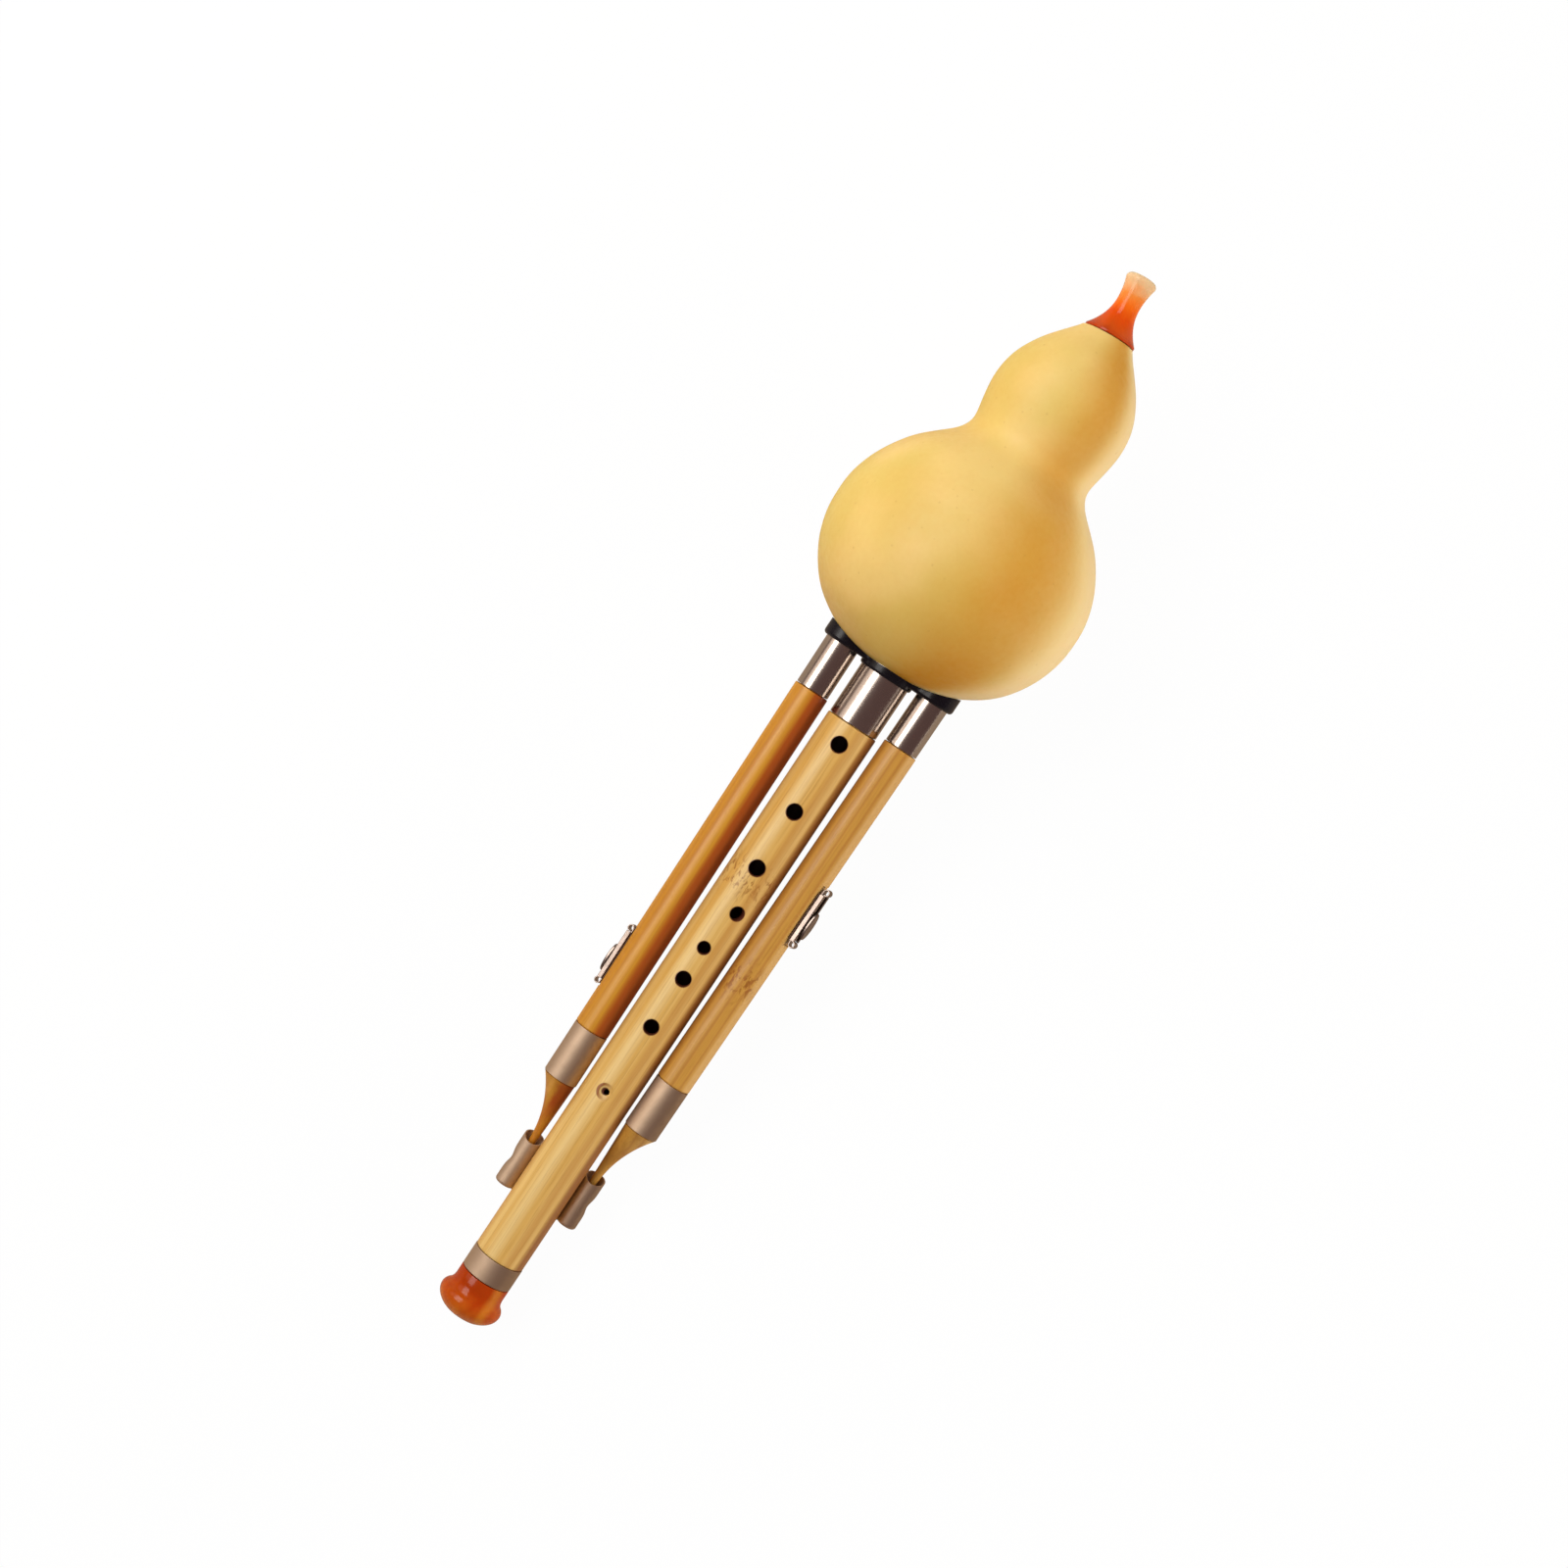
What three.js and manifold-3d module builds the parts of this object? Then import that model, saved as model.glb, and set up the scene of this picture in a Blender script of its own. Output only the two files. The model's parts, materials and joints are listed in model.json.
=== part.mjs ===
// Hulusi, a gourd flute with free reeds: a gourd wind chamber that carries a main pipe with
// finger holes between two drone pipes. Millimetres and degrees. The instrument is modelled
// upright, bell at the bottom and finger holes towards -Y, and is then laid on its back.

import * as THREE from 'three';
import { mergeVertices } from 'three/addons/utils/BufferGeometryUtils.js';
import Module from 'manifold-3d';

const wasm = await Module();
wasm.setup();

// Fits
const seatGap = 0.3;
const cutOverrun = 2;
const weldTolerance = 0.00001;

// Facets round a full turn
const gourdFacets = 36;
const cavityFacets = 20;
const pipeFacets = 26;
const boreFacets = 24;
const droneFacets = 22;
const reedFacets = 16;
const holeFacets = 10;
const nailFacets = 8;

// Bell, a turned resin foot with a rolled lip over a domed underside
const bellLength = 15.1;
const bellNeckRadius = 9.4;
const bellNeckLength = 3.7;
const bellLipRadius = 11.85;
const bellLipHeight = 5.5;
const bellLipRoll = 3;
const bellLipTurn = 50;
const bellDomeDepth = 6.9;
const bellMouthRadius = 5.1;
const bellBoreRadius = 4.5;
const bellTenonLength = 15;
const bellFlareShare = 0.3;
const bellCurveSteps = 4;

// Ring between the bell and the bamboo
const ringLength = 8;
const ringRadius = 9.35;
const ringWall = 0.8;

// Main pipe
const pipeLength = 218.6;
const pipeFootRadius = 9.25;
const pipeHeadRadius = 9.55;
const pipeBoreRadius = 6;
const pipeEdge = 0.4;
const mainSpigotRadius = 7.6;
const mainSpigotLength = 30.4;

// Finger holes, from the gourd down, with the fourth one turned towards the right hand
const fingerHoleHeightShares = [0.966, 0.842, 0.738, 0.662, 0.59, 0.532, 0.442];
const fingerHoleDiameters = [5.6, 5.5, 5.6, 4.9, 4.4, 5.3, 5.2];
const fingerHoleTurns = [0, 0, 0, 19, 0, 0, 0];
const thumbHoleHeightShare = 0.911;
const thumbHoleDiameter = 5.4;
const ventHeightShare = 0.318;
const ventDiameter = 2.2;
const ventTurn = -6;
const ventSinkDiameter = 5.8;
const ventSinkDepth = 1.1;

// Thread lapping round a spigot, and the metal socket that it seals in
const mainLappingThickness = 0.45;
const mainLappingLength = 18;
const mainSocketWall = 0.55;
const mainSocketExposed = 19.15;
const mainSocketInside = 14;
const droneLappingThickness = 0.5;
const droneLappingLength = 15;
const droneSocketWall = 0.45;
const droneSocketExposed = 18.5;
const droneSocketInside = 18;
const lappingInset = 5;

// Gourd
const gourdHeight = 134.6;
const gourdRadius = 47.8;
const gourdShift = 0.45;
const gourdWall = 3;
const gourdSteps = 24;
const cavitySteps = 11;
const gourdHeightShares = [
  0, 0.02, 0.056, 0.105, 0.178, 0.251, 0.312, 0.373, 0.446, 0.52, 0.568,
  0.605, 0.641, 0.678, 0.727, 0.776, 0.837, 0.898, 0.946, 0.983, 1,
];
const gourdRadiusShares = [
  0, 0.38, 0.605, 0.776, 0.915, 0.985, 1, 0.988, 0.918, 0.786, 0.651,
  0.536, 0.481, 0.496, 0.519, 0.528, 0.499, 0.412, 0.307, 0.218, 0.188,
];

// Lobed base plate under the gourd
const plateDrop = 0.4;
const plateRise = 9;
const plateWebHalf = 6;
const mainCollarRadius = 10.05;
const mainCollarEdge = 0.6;
const mainCollarDrop = 1.95;
const droneCollarRadius = 7.93;
const droneCollarEdge = 0.9;

// Drone pipes, which close up a little towards the bell. Each is shorter than the main pipe by
// the room that its ferrule and tail take above the clip.
const droneSpread = 17.95;
const droneLean = 0.52;
const droneShortfall = 81.1;
const droneFootRadius = 6.3;
const droneHeadRadius = 6.35;
const droneBoreRadius = 3.4;
const droneSpigotRadius = 4.5;
const droneSpigotLength = 25;

// Ferrule and tail at the foot of each drone
const ferruleLength = 19.7;
const ferruleRadius = 6.25;
const ferruleWall = 0.45;
const ferruleLap = 8;
const tailRadius = 5.95;
const tailTipRadius = 1.25;
const tailLength = 28.6;
const tailHollow = 2.2;
const tailSteps = 7;
const tailEntry = 6.8;

// Tail clip, one strip rolled into a tube at each end
const clipLength = 20.6;
const clipTubeRadius = 3.7;
const clipWall = 0.5;
const clipStandoff = 0.1;
const clipTubeTurn = 19;
const clipRimSlant = 21;
const clipFootRound = 0.9;
const clipDentDepth = 0.8;
const clipDentWidth = 2.4;
const clipHeightShares = [0, 0.03, 0.09, 0.33, 0.47, 0.61, 1];
const clipFootShares = [1, 0.35, 0, 0, 0, 0, 0];
const clipDentHeightShare = 0.47;
const clipFacets = 14;
const clipBandSteps = 10;

// Mouthpiece
const mouthLength = 22.6;
const mouthSkirtRadius = 9.25;
const mouthSkirtEdge = 0.8;
const mouthWaistRadius = 4.25;
const mouthWaistHeight = 12.8;
const mouthSkirtControlShare = 0.5;
const mouthTipRadius = 5.5;
const mouthTipRound = 1.8;
const mouthTipControlShare = 0.5;
const mouthBoreRadius = 2.2;
const mouthTenonRadius = 5.6;
const mouthTenonLength = 10;
const mouthLean = 3.4;
const mouthTrim = 0.9;
const mouthCurveSteps = 4;

// Reed tubes, reeds and their plugs
const mainReed = {
  tenonLength: 8, bodyRadius: 7.2, bodyLength: 22, boreRadius: 4.6, flatRadius: 6.2, flatInset: 2,
  windowWidth: 3.2, windowLength: 11, plateWidth: 6.4, plateLength: 15, plateThickness: 0.5,
  tongueWidth: 2, slitWidth: 0.35, plugHead: 1.2, plugTenon: 3,
};
const droneReed = {
  tenonLength: 6, bodyRadius: 4.4, bodyLength: 17, boreRadius: 2, flatRadius: 3.5, flatInset: 2,
  windowWidth: 1.8, windowLength: 8, plateWidth: 4.2, plateLength: 11, plateThickness: 0.4,
  tongueWidth: 1.2, slitWidth: 0.25, plugHead: 1, plugTenon: 2.4,
};

// Slide keys on the drones
const keyLength = 23.6;
const keyFlatDepth = 1;
const gasketThickness = 0.3;
const gasketHalfWidth = 2.7;
const keyPlateThickness = 0.4;
const keyRailWall = 0.4;
const keyLipThickness = 0.35;
const keyRollRadius = 1.25;
const keyRollSweep = 290;
const keyRollHalfWidth = 1.7;
const keyRollSteps = 6;
const keyTravel = 4.4;
const sliderThickness = 0.4;
const sliderHalfWidth = 2.2;
const stemHalfWidth = 1.2;
const stemHalfLength = 2.8;
const knobThickness = 1.05;
const knobHalfWidth = 2.6;
const knobHalfLength = 5.25;
const knobRound = 0.3;
const knobRim = 0.9;
const knobDish = 0.35;
const soundHoleRadius = 1.5;
const nailHeadRadius = 0.95;
const nailShankRadius = 0.45;
const nailHeadDepth = 0.4;
const nailLength = 2.7;
const nailPoint = 0.5;
const nailHeightShares = [0.27, -0.12];
const nailNames = ['upper', 'lower'];
const leftKeyHeightShare = 0.187;
const rightKeyHeightShare = 0.531;
const leftKeyTurn = 165;
const rightKeyTurn = -18;

// Heights and radii that follow from the sizes above
const ringBottom = bellLength + seatGap;
const ringTop = ringBottom + ringLength;
const pipeFoot = ringTop + seatGap;
const pipeHead = pipeFoot + pipeLength;
const mainSocketMouth = pipeHead + seatGap;
const gourdBottom = mainSocketMouth + mainSocketExposed + mainCollarDrop;
const gourdTop = gourdBottom + gourdHeight;
const plateBottom = gourdBottom - plateDrop;
const droneMouth = plateBottom - droneSocketExposed;
const mainLappingRadius = mainSpigotRadius + seatGap + mainLappingThickness;
const mainSocketRadius = mainLappingRadius + seatGap + mainSocketWall;
const droneLappingRadius = droneSpigotRadius + seatGap + droneLappingThickness;
const droneSocketRadius = droneLappingRadius + seatGap + droneSocketWall;
const droneLength = pipeLength - droneShortfall;
const droneFoot = -seatGap - droneLength;
const ferruleTop = droneFoot - seatGap;
const ferruleBottom = ferruleTop - ferruleLength;
const ferruleSpigotRadius = ferruleRadius - ferruleWall - seatGap;
const tailTop = ferruleBottom - seatGap;
const tailTip = tailTop - tailLength;
const clipTop = droneMouth + tailTip + tailEntry;
const clipBottom = clipTop - clipLength;

const radians = THREE.MathUtils.degToRad;
const mix = THREE.MathUtils.lerp;

// Radius of the main pipe's bamboo at a height
function pipeRadiusAt(height) {
  return mix(pipeFootRadius, pipeHeadRadius, (height - pipeFoot) / pipeLength);
}

const clipBandRadius = pipeRadiusAt(clipTop) + seatGap;
const clipTubeDistance = clipBandRadius + clipStandoff + clipTubeRadius;
const clipTubeX = clipTubeDistance * Math.cos(radians(clipTubeTurn));
const clipTubeY = clipTubeDistance * Math.sin(radians(clipTubeTurn));

// Place of a drone, whose own origin is the mouth of its socket. Side is -1 left, 1 right.
function droneFrame(side) {
  const frame = new THREE.Group();
  frame.position.set(side * droneSpread, 0, droneMouth);
  frame.rotation.y = side * radians(droneLean);
  frame.updateMatrix();
  return frame;
}

// Place of the mouthpiece, whose own origin is the middle of its skirt
function mouthFrame() {
  const frame = new THREE.Group();
  frame.position.set(-gourdShift, 0, gourdTop - mouthTrim);
  frame.rotation.y = -radians(mouthLean);
  frame.updateMatrix();
  return frame;
}

// Welded copy of a geometry, without collapsed triangles and with its faces pointing out
function weld(geometry) {
  const bare = geometry.clone();
  bare.deleteAttribute('normal');
  bare.deleteAttribute('uv');
  const merged = mergeVertices(bare, weldTolerance);
  const place = merged.getAttribute('position');
  const kept = [];
  let volume = 0;
  const corner = [new THREE.Vector3(), new THREE.Vector3(), new THREE.Vector3()];
  for (let i = 0; i < merged.index.count; i += 3) {
    const face = [merged.index.getX(i), merged.index.getX(i + 1), merged.index.getX(i + 2)];
    if (face[0] !== face[1] && face[1] !== face[2] && face[2] !== face[0]) {
      kept.push(...face);
      face.forEach((vertex, k) => corner[k].fromBufferAttribute(place, vertex));
      volume += corner[0].dot(corner[1].cross(corner[2]));
    }
  }
  if (volume < 0) {
    kept.reverse();
  }
  merged.setIndex(kept);
  return merged;
}

// Welded geometry as a solid that can be cut and joined
function solid(geometry) {
  const welded = weld(geometry);
  const vertProperties = new Float32Array(welded.getAttribute('position').array);
  const triVerts = new Uint32Array(welded.index.array);
  return new wasm.Manifold(new wasm.Mesh({ numProp: 3, vertProperties, triVerts }));
}

// Cut or joined solid as a geometry
function shell(body) {
  const mesh = body.getMesh();
  const geometry = new THREE.BufferGeometry();
  geometry.setAttribute('position', new THREE.BufferAttribute(mesh.vertProperties, 3));
  geometry.setIndex(Array.from(mesh.triVerts));
  return geometry;
}

function join(...geometries) {
  return shell(geometries.map(solid).reduce((sum, next) => sum.add(next)));
}

function cut(geometry, ...cutters) {
  return shell(cutters.map(solid).reduce((rest, next) => rest.subtract(next), solid(geometry)));
}

// Profile of radius and height turned about the vertical axis, a flat facet facing the back
function revolve(points, facets) {
  const turned = new THREE.LatheGeometry(points, facets, Math.PI / facets, 2 * Math.PI);
  return turned.rotateX(Math.PI / 2);
}

// Closed profile of straight lines
function profile(...corners) {
  const points = corners.map(([radius, height]) => new THREE.Vector2(radius, height));
  points.push(points[0].clone());
  return points;
}

function tube(inner, outer, bottom, top, facets) {
  return revolve(profile([inner, bottom], [outer, bottom], [outer, top], [inner, top]), facets);
}

function rod(radius, bottom, top, facets) {
  const corners = [[0, bottom], [radius, bottom], [radius, top], [0, top]];
  return revolve(corners.map(([r, height]) => new THREE.Vector2(r, height)), facets);
}

// Box between two corners
function block(low, high) {
  const size = high.map((value, axis) => value - low[axis]);
  const middle = high.map((value, axis) => (value + low[axis]) / 2);
  return new THREE.BoxGeometry(...size).translate(...middle);
}

// Drill that leaves the pipe's axis at a height, turned from the front towards the right
function drill(radius, reach, height, turn, facets = holeFacets) {
  const bit = new THREE.CylinderGeometry(radius, radius, reach, facets);
  return bit.translate(0, -reach / 2, 0).rotateZ(radians(turn)).translate(0, 0, height);
}

// Skin over rings of equal count, joined end to end or capped
function loft(rings, closed) {
  const points = rings.flat().map((point) => point.toArray()).flat();
  const index = [];
  const count = rings[0].length;
  const bands = closed ? rings.length : rings.length - 1;
  for (let band = 0; band < bands; band += 1) {
    const low = band * count;
    const high = ((band + 1) % rings.length) * count;
    for (let k = 0; k < count; k += 1) {
      const next = (k + 1) % count;
      index.push(low + k, low + next, high + next, low + k, high + next, high + k);
    }
  }
  if (!closed) {
    const last = (rings.length - 1) * count;
    for (let k = 1; k < count - 1; k += 1) {
      index.push(0, k + 1, k, last, last + k, last + k + 1);
    }
  }
  const geometry = new THREE.BufferGeometry();
  geometry.setAttribute('position', new THREE.Float32BufferAttribute(points, 3));
  geometry.setIndex(index);
  return geometry;
}

// Ring of points whose radius may change round the turn
function ringAt(x, y, height, facets, radiusAt) {
  return Array.from({ length: facets }, (unused, k) => {
    const angle = (2 * Math.PI * k) / facets;
    const radius = radiusAt(angle);
    return new THREE.Vector3(x + radius * Math.cos(angle), y + radius * Math.sin(angle), height);
  });
}

// Outer surface of the gourd as a profile, moved out or in by an offset
function gourdProfile(offset, steps) {
  const points = gourdHeightShares.map((share, i) => (
    new THREE.Vector2(gourdRadiusShares[i] * gourdRadius, share * gourdHeight)
  ));
  const curve = new THREE.SplineCurve(points);
  const moved = curve.getPoints(steps).map((point, i) => {
    const tangent = curve.getTangent(i / steps);
    const radius = Math.max(point.x + offset * tangent.y, 0);
    return new THREE.Vector2(radius, gourdBottom + point.y - offset * tangent.x);
  });
  moved[0].x = 0;
  moved.push(new THREE.Vector2(0, moved[steps].y));
  return moved;
}

// The gourd grew a little to the left of the pipes
function gourdSkin(offset, steps, facets) {
  return revolve(gourdProfile(offset, steps), facets).translate(-gourdShift, 0, 0);
}

function makeGourd() {
  const outer = gourdSkin(0, gourdSteps, gourdFacets);
  const cavity = gourdSkin(-gourdWall, cavitySteps, cavityFacets);
  const inside = gourdBottom + mainSocketInside;
  const holes = [rod(mainSocketRadius + seatGap, gourdBottom - cutOverrun, inside, boreFacets)];
  for (const side of [-1, 1]) {
    const top = droneSocketExposed + droneSocketInside;
    const bore = rod(droneSocketRadius + seatGap, 0, top, boreFacets);
    holes.push(bore.applyMatrix4(droneFrame(side).matrix));
  }
  const mouth = mouthFrame().matrix;
  const trim = rod(mouthSkirtRadius + cutOverrun, -seatGap, mouthTrim + cutOverrun, droneFacets);
  const neck = rod(mouthTenonRadius + seatGap, -mouthTenonLength - cutOverrun, 0, droneFacets);
  holes.push(trim.applyMatrix4(mouth), neck.applyMatrix4(mouth));
  return cut(outer, cavity, ...holes);
}

// Round collar with a chamfered lower edge
function collar(radius, edge, bottom, top, facets) {
  const corners = [[0, bottom], [radius - edge, bottom], [radius, bottom + edge]];
  corners.push([radius, top], [0, top]);
  return revolve(corners.map(([r, height]) => new THREE.Vector2(r, height)), facets);
}

function makeBasePlate() {
  const top = plateBottom + plateRise;
  const mainCollarBottom = gourdBottom - mainCollarDrop;
  const web = block([-droneSpread, -plateWebHalf, plateBottom], [droneSpread, plateWebHalf, top]);
  const lobes = [collar(mainCollarRadius, mainCollarEdge, mainCollarBottom, top, pipeFacets)];
  const reach = mainCollarBottom - cutOverrun;
  const bores = [rod(mainSocketRadius + seatGap, reach, top + cutOverrun, boreFacets)];
  for (const side of [-1, 1]) {
    const frame = droneFrame(side).matrix;
    const rise = droneSocketExposed + plateRise;
    const bottom = droneSocketExposed;
    const lobe = collar(droneCollarRadius, droneCollarEdge, bottom, rise, boreFacets);
    const bore = rod(droneSocketRadius + seatGap, 0, rise + cutOverrun, boreFacets);
    lobes.push(lobe.applyMatrix4(frame));
    bores.push(bore.applyMatrix4(frame));
  }
  const seat = gourdSkin(seatGap, gourdSteps, gourdFacets);
  return cut(join(web, ...lobes), seat, ...bores);
}

function makeMainSocket() {
  const inner = mainSocketRadius - mainSocketWall;
  const top = gourdBottom + mainSocketInside;
  return tube(inner, mainSocketRadius, mainSocketMouth, top, pipeFacets);
}

function makeDroneSocket() {
  const inner = droneSocketRadius - droneSocketWall;
  const top = droneSocketExposed + droneSocketInside;
  return tube(inner, droneSocketRadius, 0, top, droneFacets);
}

function makeMouthpiece() {
  const path = new THREE.Path();
  const flareHeight = mouthLength - mouthTipRound;
  const tipControl = mix(mouthWaistHeight, flareHeight, mouthTipControlShare);
  const skirtControl = mouthWaistHeight * mouthSkirtControlShare;
  path.moveTo(mouthBoreRadius, -mouthTenonLength);
  path.lineTo(mouthTenonRadius, -mouthTenonLength);
  path.lineTo(mouthTenonRadius, 0);
  path.lineTo(mouthSkirtRadius, 0);
  path.lineTo(mouthSkirtRadius, mouthSkirtEdge);
  path.quadraticCurveTo(mouthWaistRadius, skirtControl, mouthWaistRadius, mouthWaistHeight);
  path.quadraticCurveTo(mouthWaistRadius, tipControl, mouthTipRadius, flareHeight);
  path.absarc(mouthTipRadius - mouthTipRound, flareHeight, mouthTipRound, 0, Math.PI / 2);
  path.lineTo(mouthBoreRadius, mouthLength);
  path.lineTo(mouthBoreRadius, -mouthTenonLength);
  return revolve(path.getPoints(mouthCurveSteps), droneFacets);
}

function makeBell() {
  const path = new THREE.Path();
  const tenonRadius = pipeBoreRadius - seatGap;
  const tenonTop = bellLength + bellTenonLength;
  const rollCentre = bellLipRadius - bellLipRoll;
  const turn = radians(bellLipTurn);
  const lipEnd = rollCentre + bellLipRoll * Math.cos(turn);
  const lipTop = bellLipHeight + bellLipRoll * Math.sin(turn);
  const neckControl = lipTop + (lipEnd - bellNeckRadius) / Math.tan(turn);
  const domeStart = -Math.asin(bellLipHeight / bellDomeDepth);
  path.moveTo(bellBoreRadius, tenonTop);
  path.lineTo(bellBoreRadius, bellLength);
  path.quadraticCurveTo(bellBoreRadius, bellLength * bellFlareShare, bellMouthRadius, 0);
  path.absellipse(0, bellLipHeight, bellLipRadius, bellDomeDepth, domeStart, 0);
  path.absarc(rollCentre, bellLipHeight, bellLipRoll, 0, turn);
  path.quadraticCurveTo(bellNeckRadius, neckControl, bellNeckRadius, bellLength - bellNeckLength);
  path.lineTo(bellNeckRadius, bellLength);
  path.lineTo(tenonRadius, bellLength);
  path.lineTo(tenonRadius, tenonTop);
  path.lineTo(bellBoreRadius, tenonTop);
  return revolve(path.getPoints(bellCurveSteps), boreFacets);
}

function makeBellRing() {
  return tube(ringRadius - ringWall, ringRadius, ringBottom, ringTop, pipeFacets);
}

function makeMainPipe() {
  const footSpigot = ringRadius - ringWall - seatGap;
  const spigotTop = pipeHead + mainSpigotLength;
  const body = revolve(profile(
    [pipeBoreRadius, ringBottom],
    [footSpigot, ringBottom],
    [footSpigot, pipeFoot],
    [pipeFootRadius - pipeEdge, pipeFoot],
    [pipeFootRadius, pipeFoot + pipeEdge],
    [pipeHeadRadius, pipeHead - pipeEdge],
    [pipeHeadRadius - pipeEdge, pipeHead],
    [mainSpigotRadius, pipeHead],
    [mainSpigotRadius, spigotTop],
    [pipeBoreRadius, spigotTop],
  ), pipeFacets);
  const reach = pipeHeadRadius + cutOverrun;
  const holes = fingerHoleHeightShares.map((share, i) => {
    const height = pipeFoot + share * pipeLength;
    return drill(fingerHoleDiameters[i] / 2, reach, height, fingerHoleTurns[i]);
  });
  const thumbHeight = pipeFoot + thumbHoleHeightShare * pipeLength;
  holes.push(drill(thumbHoleDiameter / 2, reach, thumbHeight, 180));
  const ventHeight = pipeFoot + ventHeightShare * pipeLength;
  holes.push(drill(ventDiameter / 2, reach, ventHeight, ventTurn));
  const sinkFloor = pipeRadiusAt(ventHeight) - ventSinkDepth;
  const sink = new THREE.CylinderGeometry(
    ventDiameter / 2, ventSinkDiameter / 2, ventSinkDepth, holeFacets,
  );
  sink.translate(0, -sinkFloor - ventSinkDepth / 2, 0).rotateZ(radians(ventTurn));
  holes.push(sink.translate(0, 0, ventHeight));
  return cut(body, ...holes);
}

function makeLapping(spigotRadius, thickness, length, bottom, facets) {
  const inner = spigotRadius + seatGap;
  return tube(inner, inner + thickness, bottom, bottom + length, facets);
}

// Closed tube above a spigot, with a flat and a window for the reed
function makeReedTube(reed, boreRadius, seat) {
  const body = revolve(profile(
    [reed.boreRadius, seat - reed.tenonLength],
    [boreRadius - seatGap, seat - reed.tenonLength],
    [boreRadius - seatGap, seat],
    [reed.bodyRadius, seat],
    [reed.bodyRadius, seat + reed.bodyLength],
    [reed.boreRadius, seat + reed.bodyLength],
  ), reedFacets);
  const low = seat + reed.flatInset;
  const high = low + reed.plateLength + 2 * seatGap;
  const beyond = -reed.bodyRadius - cutOverrun;
  const flat = block([-reed.bodyRadius, beyond, low], [reed.bodyRadius, -reed.flatRadius, high]);
  const middle = (low + high) / 2;
  const half = reed.windowLength / 2;
  const halfWidth = reed.windowWidth / 2;
  const window = block([-halfWidth, beyond, middle - half], [halfWidth, 0, middle + half]);
  return cut(body, flat, window);
}

// Brass plate whose tongue is freed by a narrow V-shaped slit
function makeReed(reed, seat) {
  const halfWidth = reed.plateWidth / 2;
  const halfLength = reed.plateLength / 2;
  const root = reed.tongueWidth / 2;
  const slit = reed.slitWidth;
  const halfTongue = reed.windowLength / 2 - slit;
  const plate = new THREE.Shape();
  plate.moveTo(-halfWidth, -halfLength);
  plate.lineTo(halfWidth, -halfLength);
  plate.lineTo(halfWidth, halfLength);
  plate.lineTo(-halfWidth, halfLength);
  plate.closePath();
  const gap = new THREE.Path();
  gap.moveTo(-root, -halfTongue);
  gap.lineTo(0, halfTongue - slit);
  gap.lineTo(root, -halfTongue);
  gap.lineTo(root + slit, -halfTongue);
  gap.lineTo(slit, halfTongue);
  gap.lineTo(-slit, halfTongue);
  gap.lineTo(-root - slit, -halfTongue);
  gap.closePath();
  plate.holes.push(gap);
  const sheet = new THREE.ExtrudeGeometry(plate, { depth: reed.plateThickness, bevelEnabled: false });
  const middle = seat + reed.flatInset + seatGap + halfLength;
  return sheet.rotateX(Math.PI / 2).translate(0, -reed.flatRadius - seatGap, middle);
}

function makeReedPlug(reed, seat) {
  const seatTop = seat + reed.bodyLength + seatGap;
  const tenon = reed.boreRadius - seatGap;
  return revolve([
    new THREE.Vector2(0, seatTop - seatGap - reed.plugTenon),
    new THREE.Vector2(tenon, seatTop - seatGap - reed.plugTenon),
    new THREE.Vector2(tenon, seatTop),
    new THREE.Vector2(reed.bodyRadius, seatTop),
    new THREE.Vector2(reed.bodyRadius, seatTop + reed.plugHead),
    new THREE.Vector2(0, seatTop + reed.plugHead),
  ], reedFacets);
}

// One rolled end of the clip, pressed in on its outer side and drawn in at its foot
function rollTube(side) {
  const x = side * clipTubeX;
  const outward = Math.atan2(clipTubeY, x);
  const rings = [];
  for (const inset of [0, clipWall]) {
    const wall = clipHeightShares.map((share, i) => {
      const height = clipBottom + share * clipLength;
      const reach = (height - clipBottom - clipDentHeightShare * clipLength) / clipDentWidth;
      const dent = clipDentDepth * Math.exp(-reach * reach);
      const radius = clipTubeRadius - inset - clipFootRound * clipFootShares[i];
      return ringAt(x, clipTubeY, height, clipFacets, (angle) => (
        radius - dent * Math.max(0, Math.cos(angle - outward)) ** 2
      ));
    });
    rings.push(...(inset ? wall.reverse() : wall));
  }
  return loft(rings, true);
}

// The rims of both tubes are cut at a slant, lowest at the front
function makeTailClip() {
  const start = radians(clipTubeTurn);
  const end = Math.PI - start;
  const strip = new THREE.Shape();
  strip.absarc(0, 0, clipBandRadius + clipWall, start, end);
  strip.absarc(0, 0, clipBandRadius, end, start, true);
  strip.closePath();
  const depth = clipLength;
  const band = new THREE.ExtrudeGeometry(strip, {
    depth, bevelEnabled: false, curveSegments: clipBandSteps,
  });
  const clip = join(band.translate(0, 0, clipBottom), rollTube(-1), rollTube(1));
  const reach = clipTubeX + clipTubeRadius + cutOverrun;
  const above = block([-reach, -reach, 0], [reach, 0, clipLength]);
  above.rotateX(radians(clipRimSlant)).translate(0, clipTubeY + clipTubeRadius, clipTop);
  return cut(clip, above);
}

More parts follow.
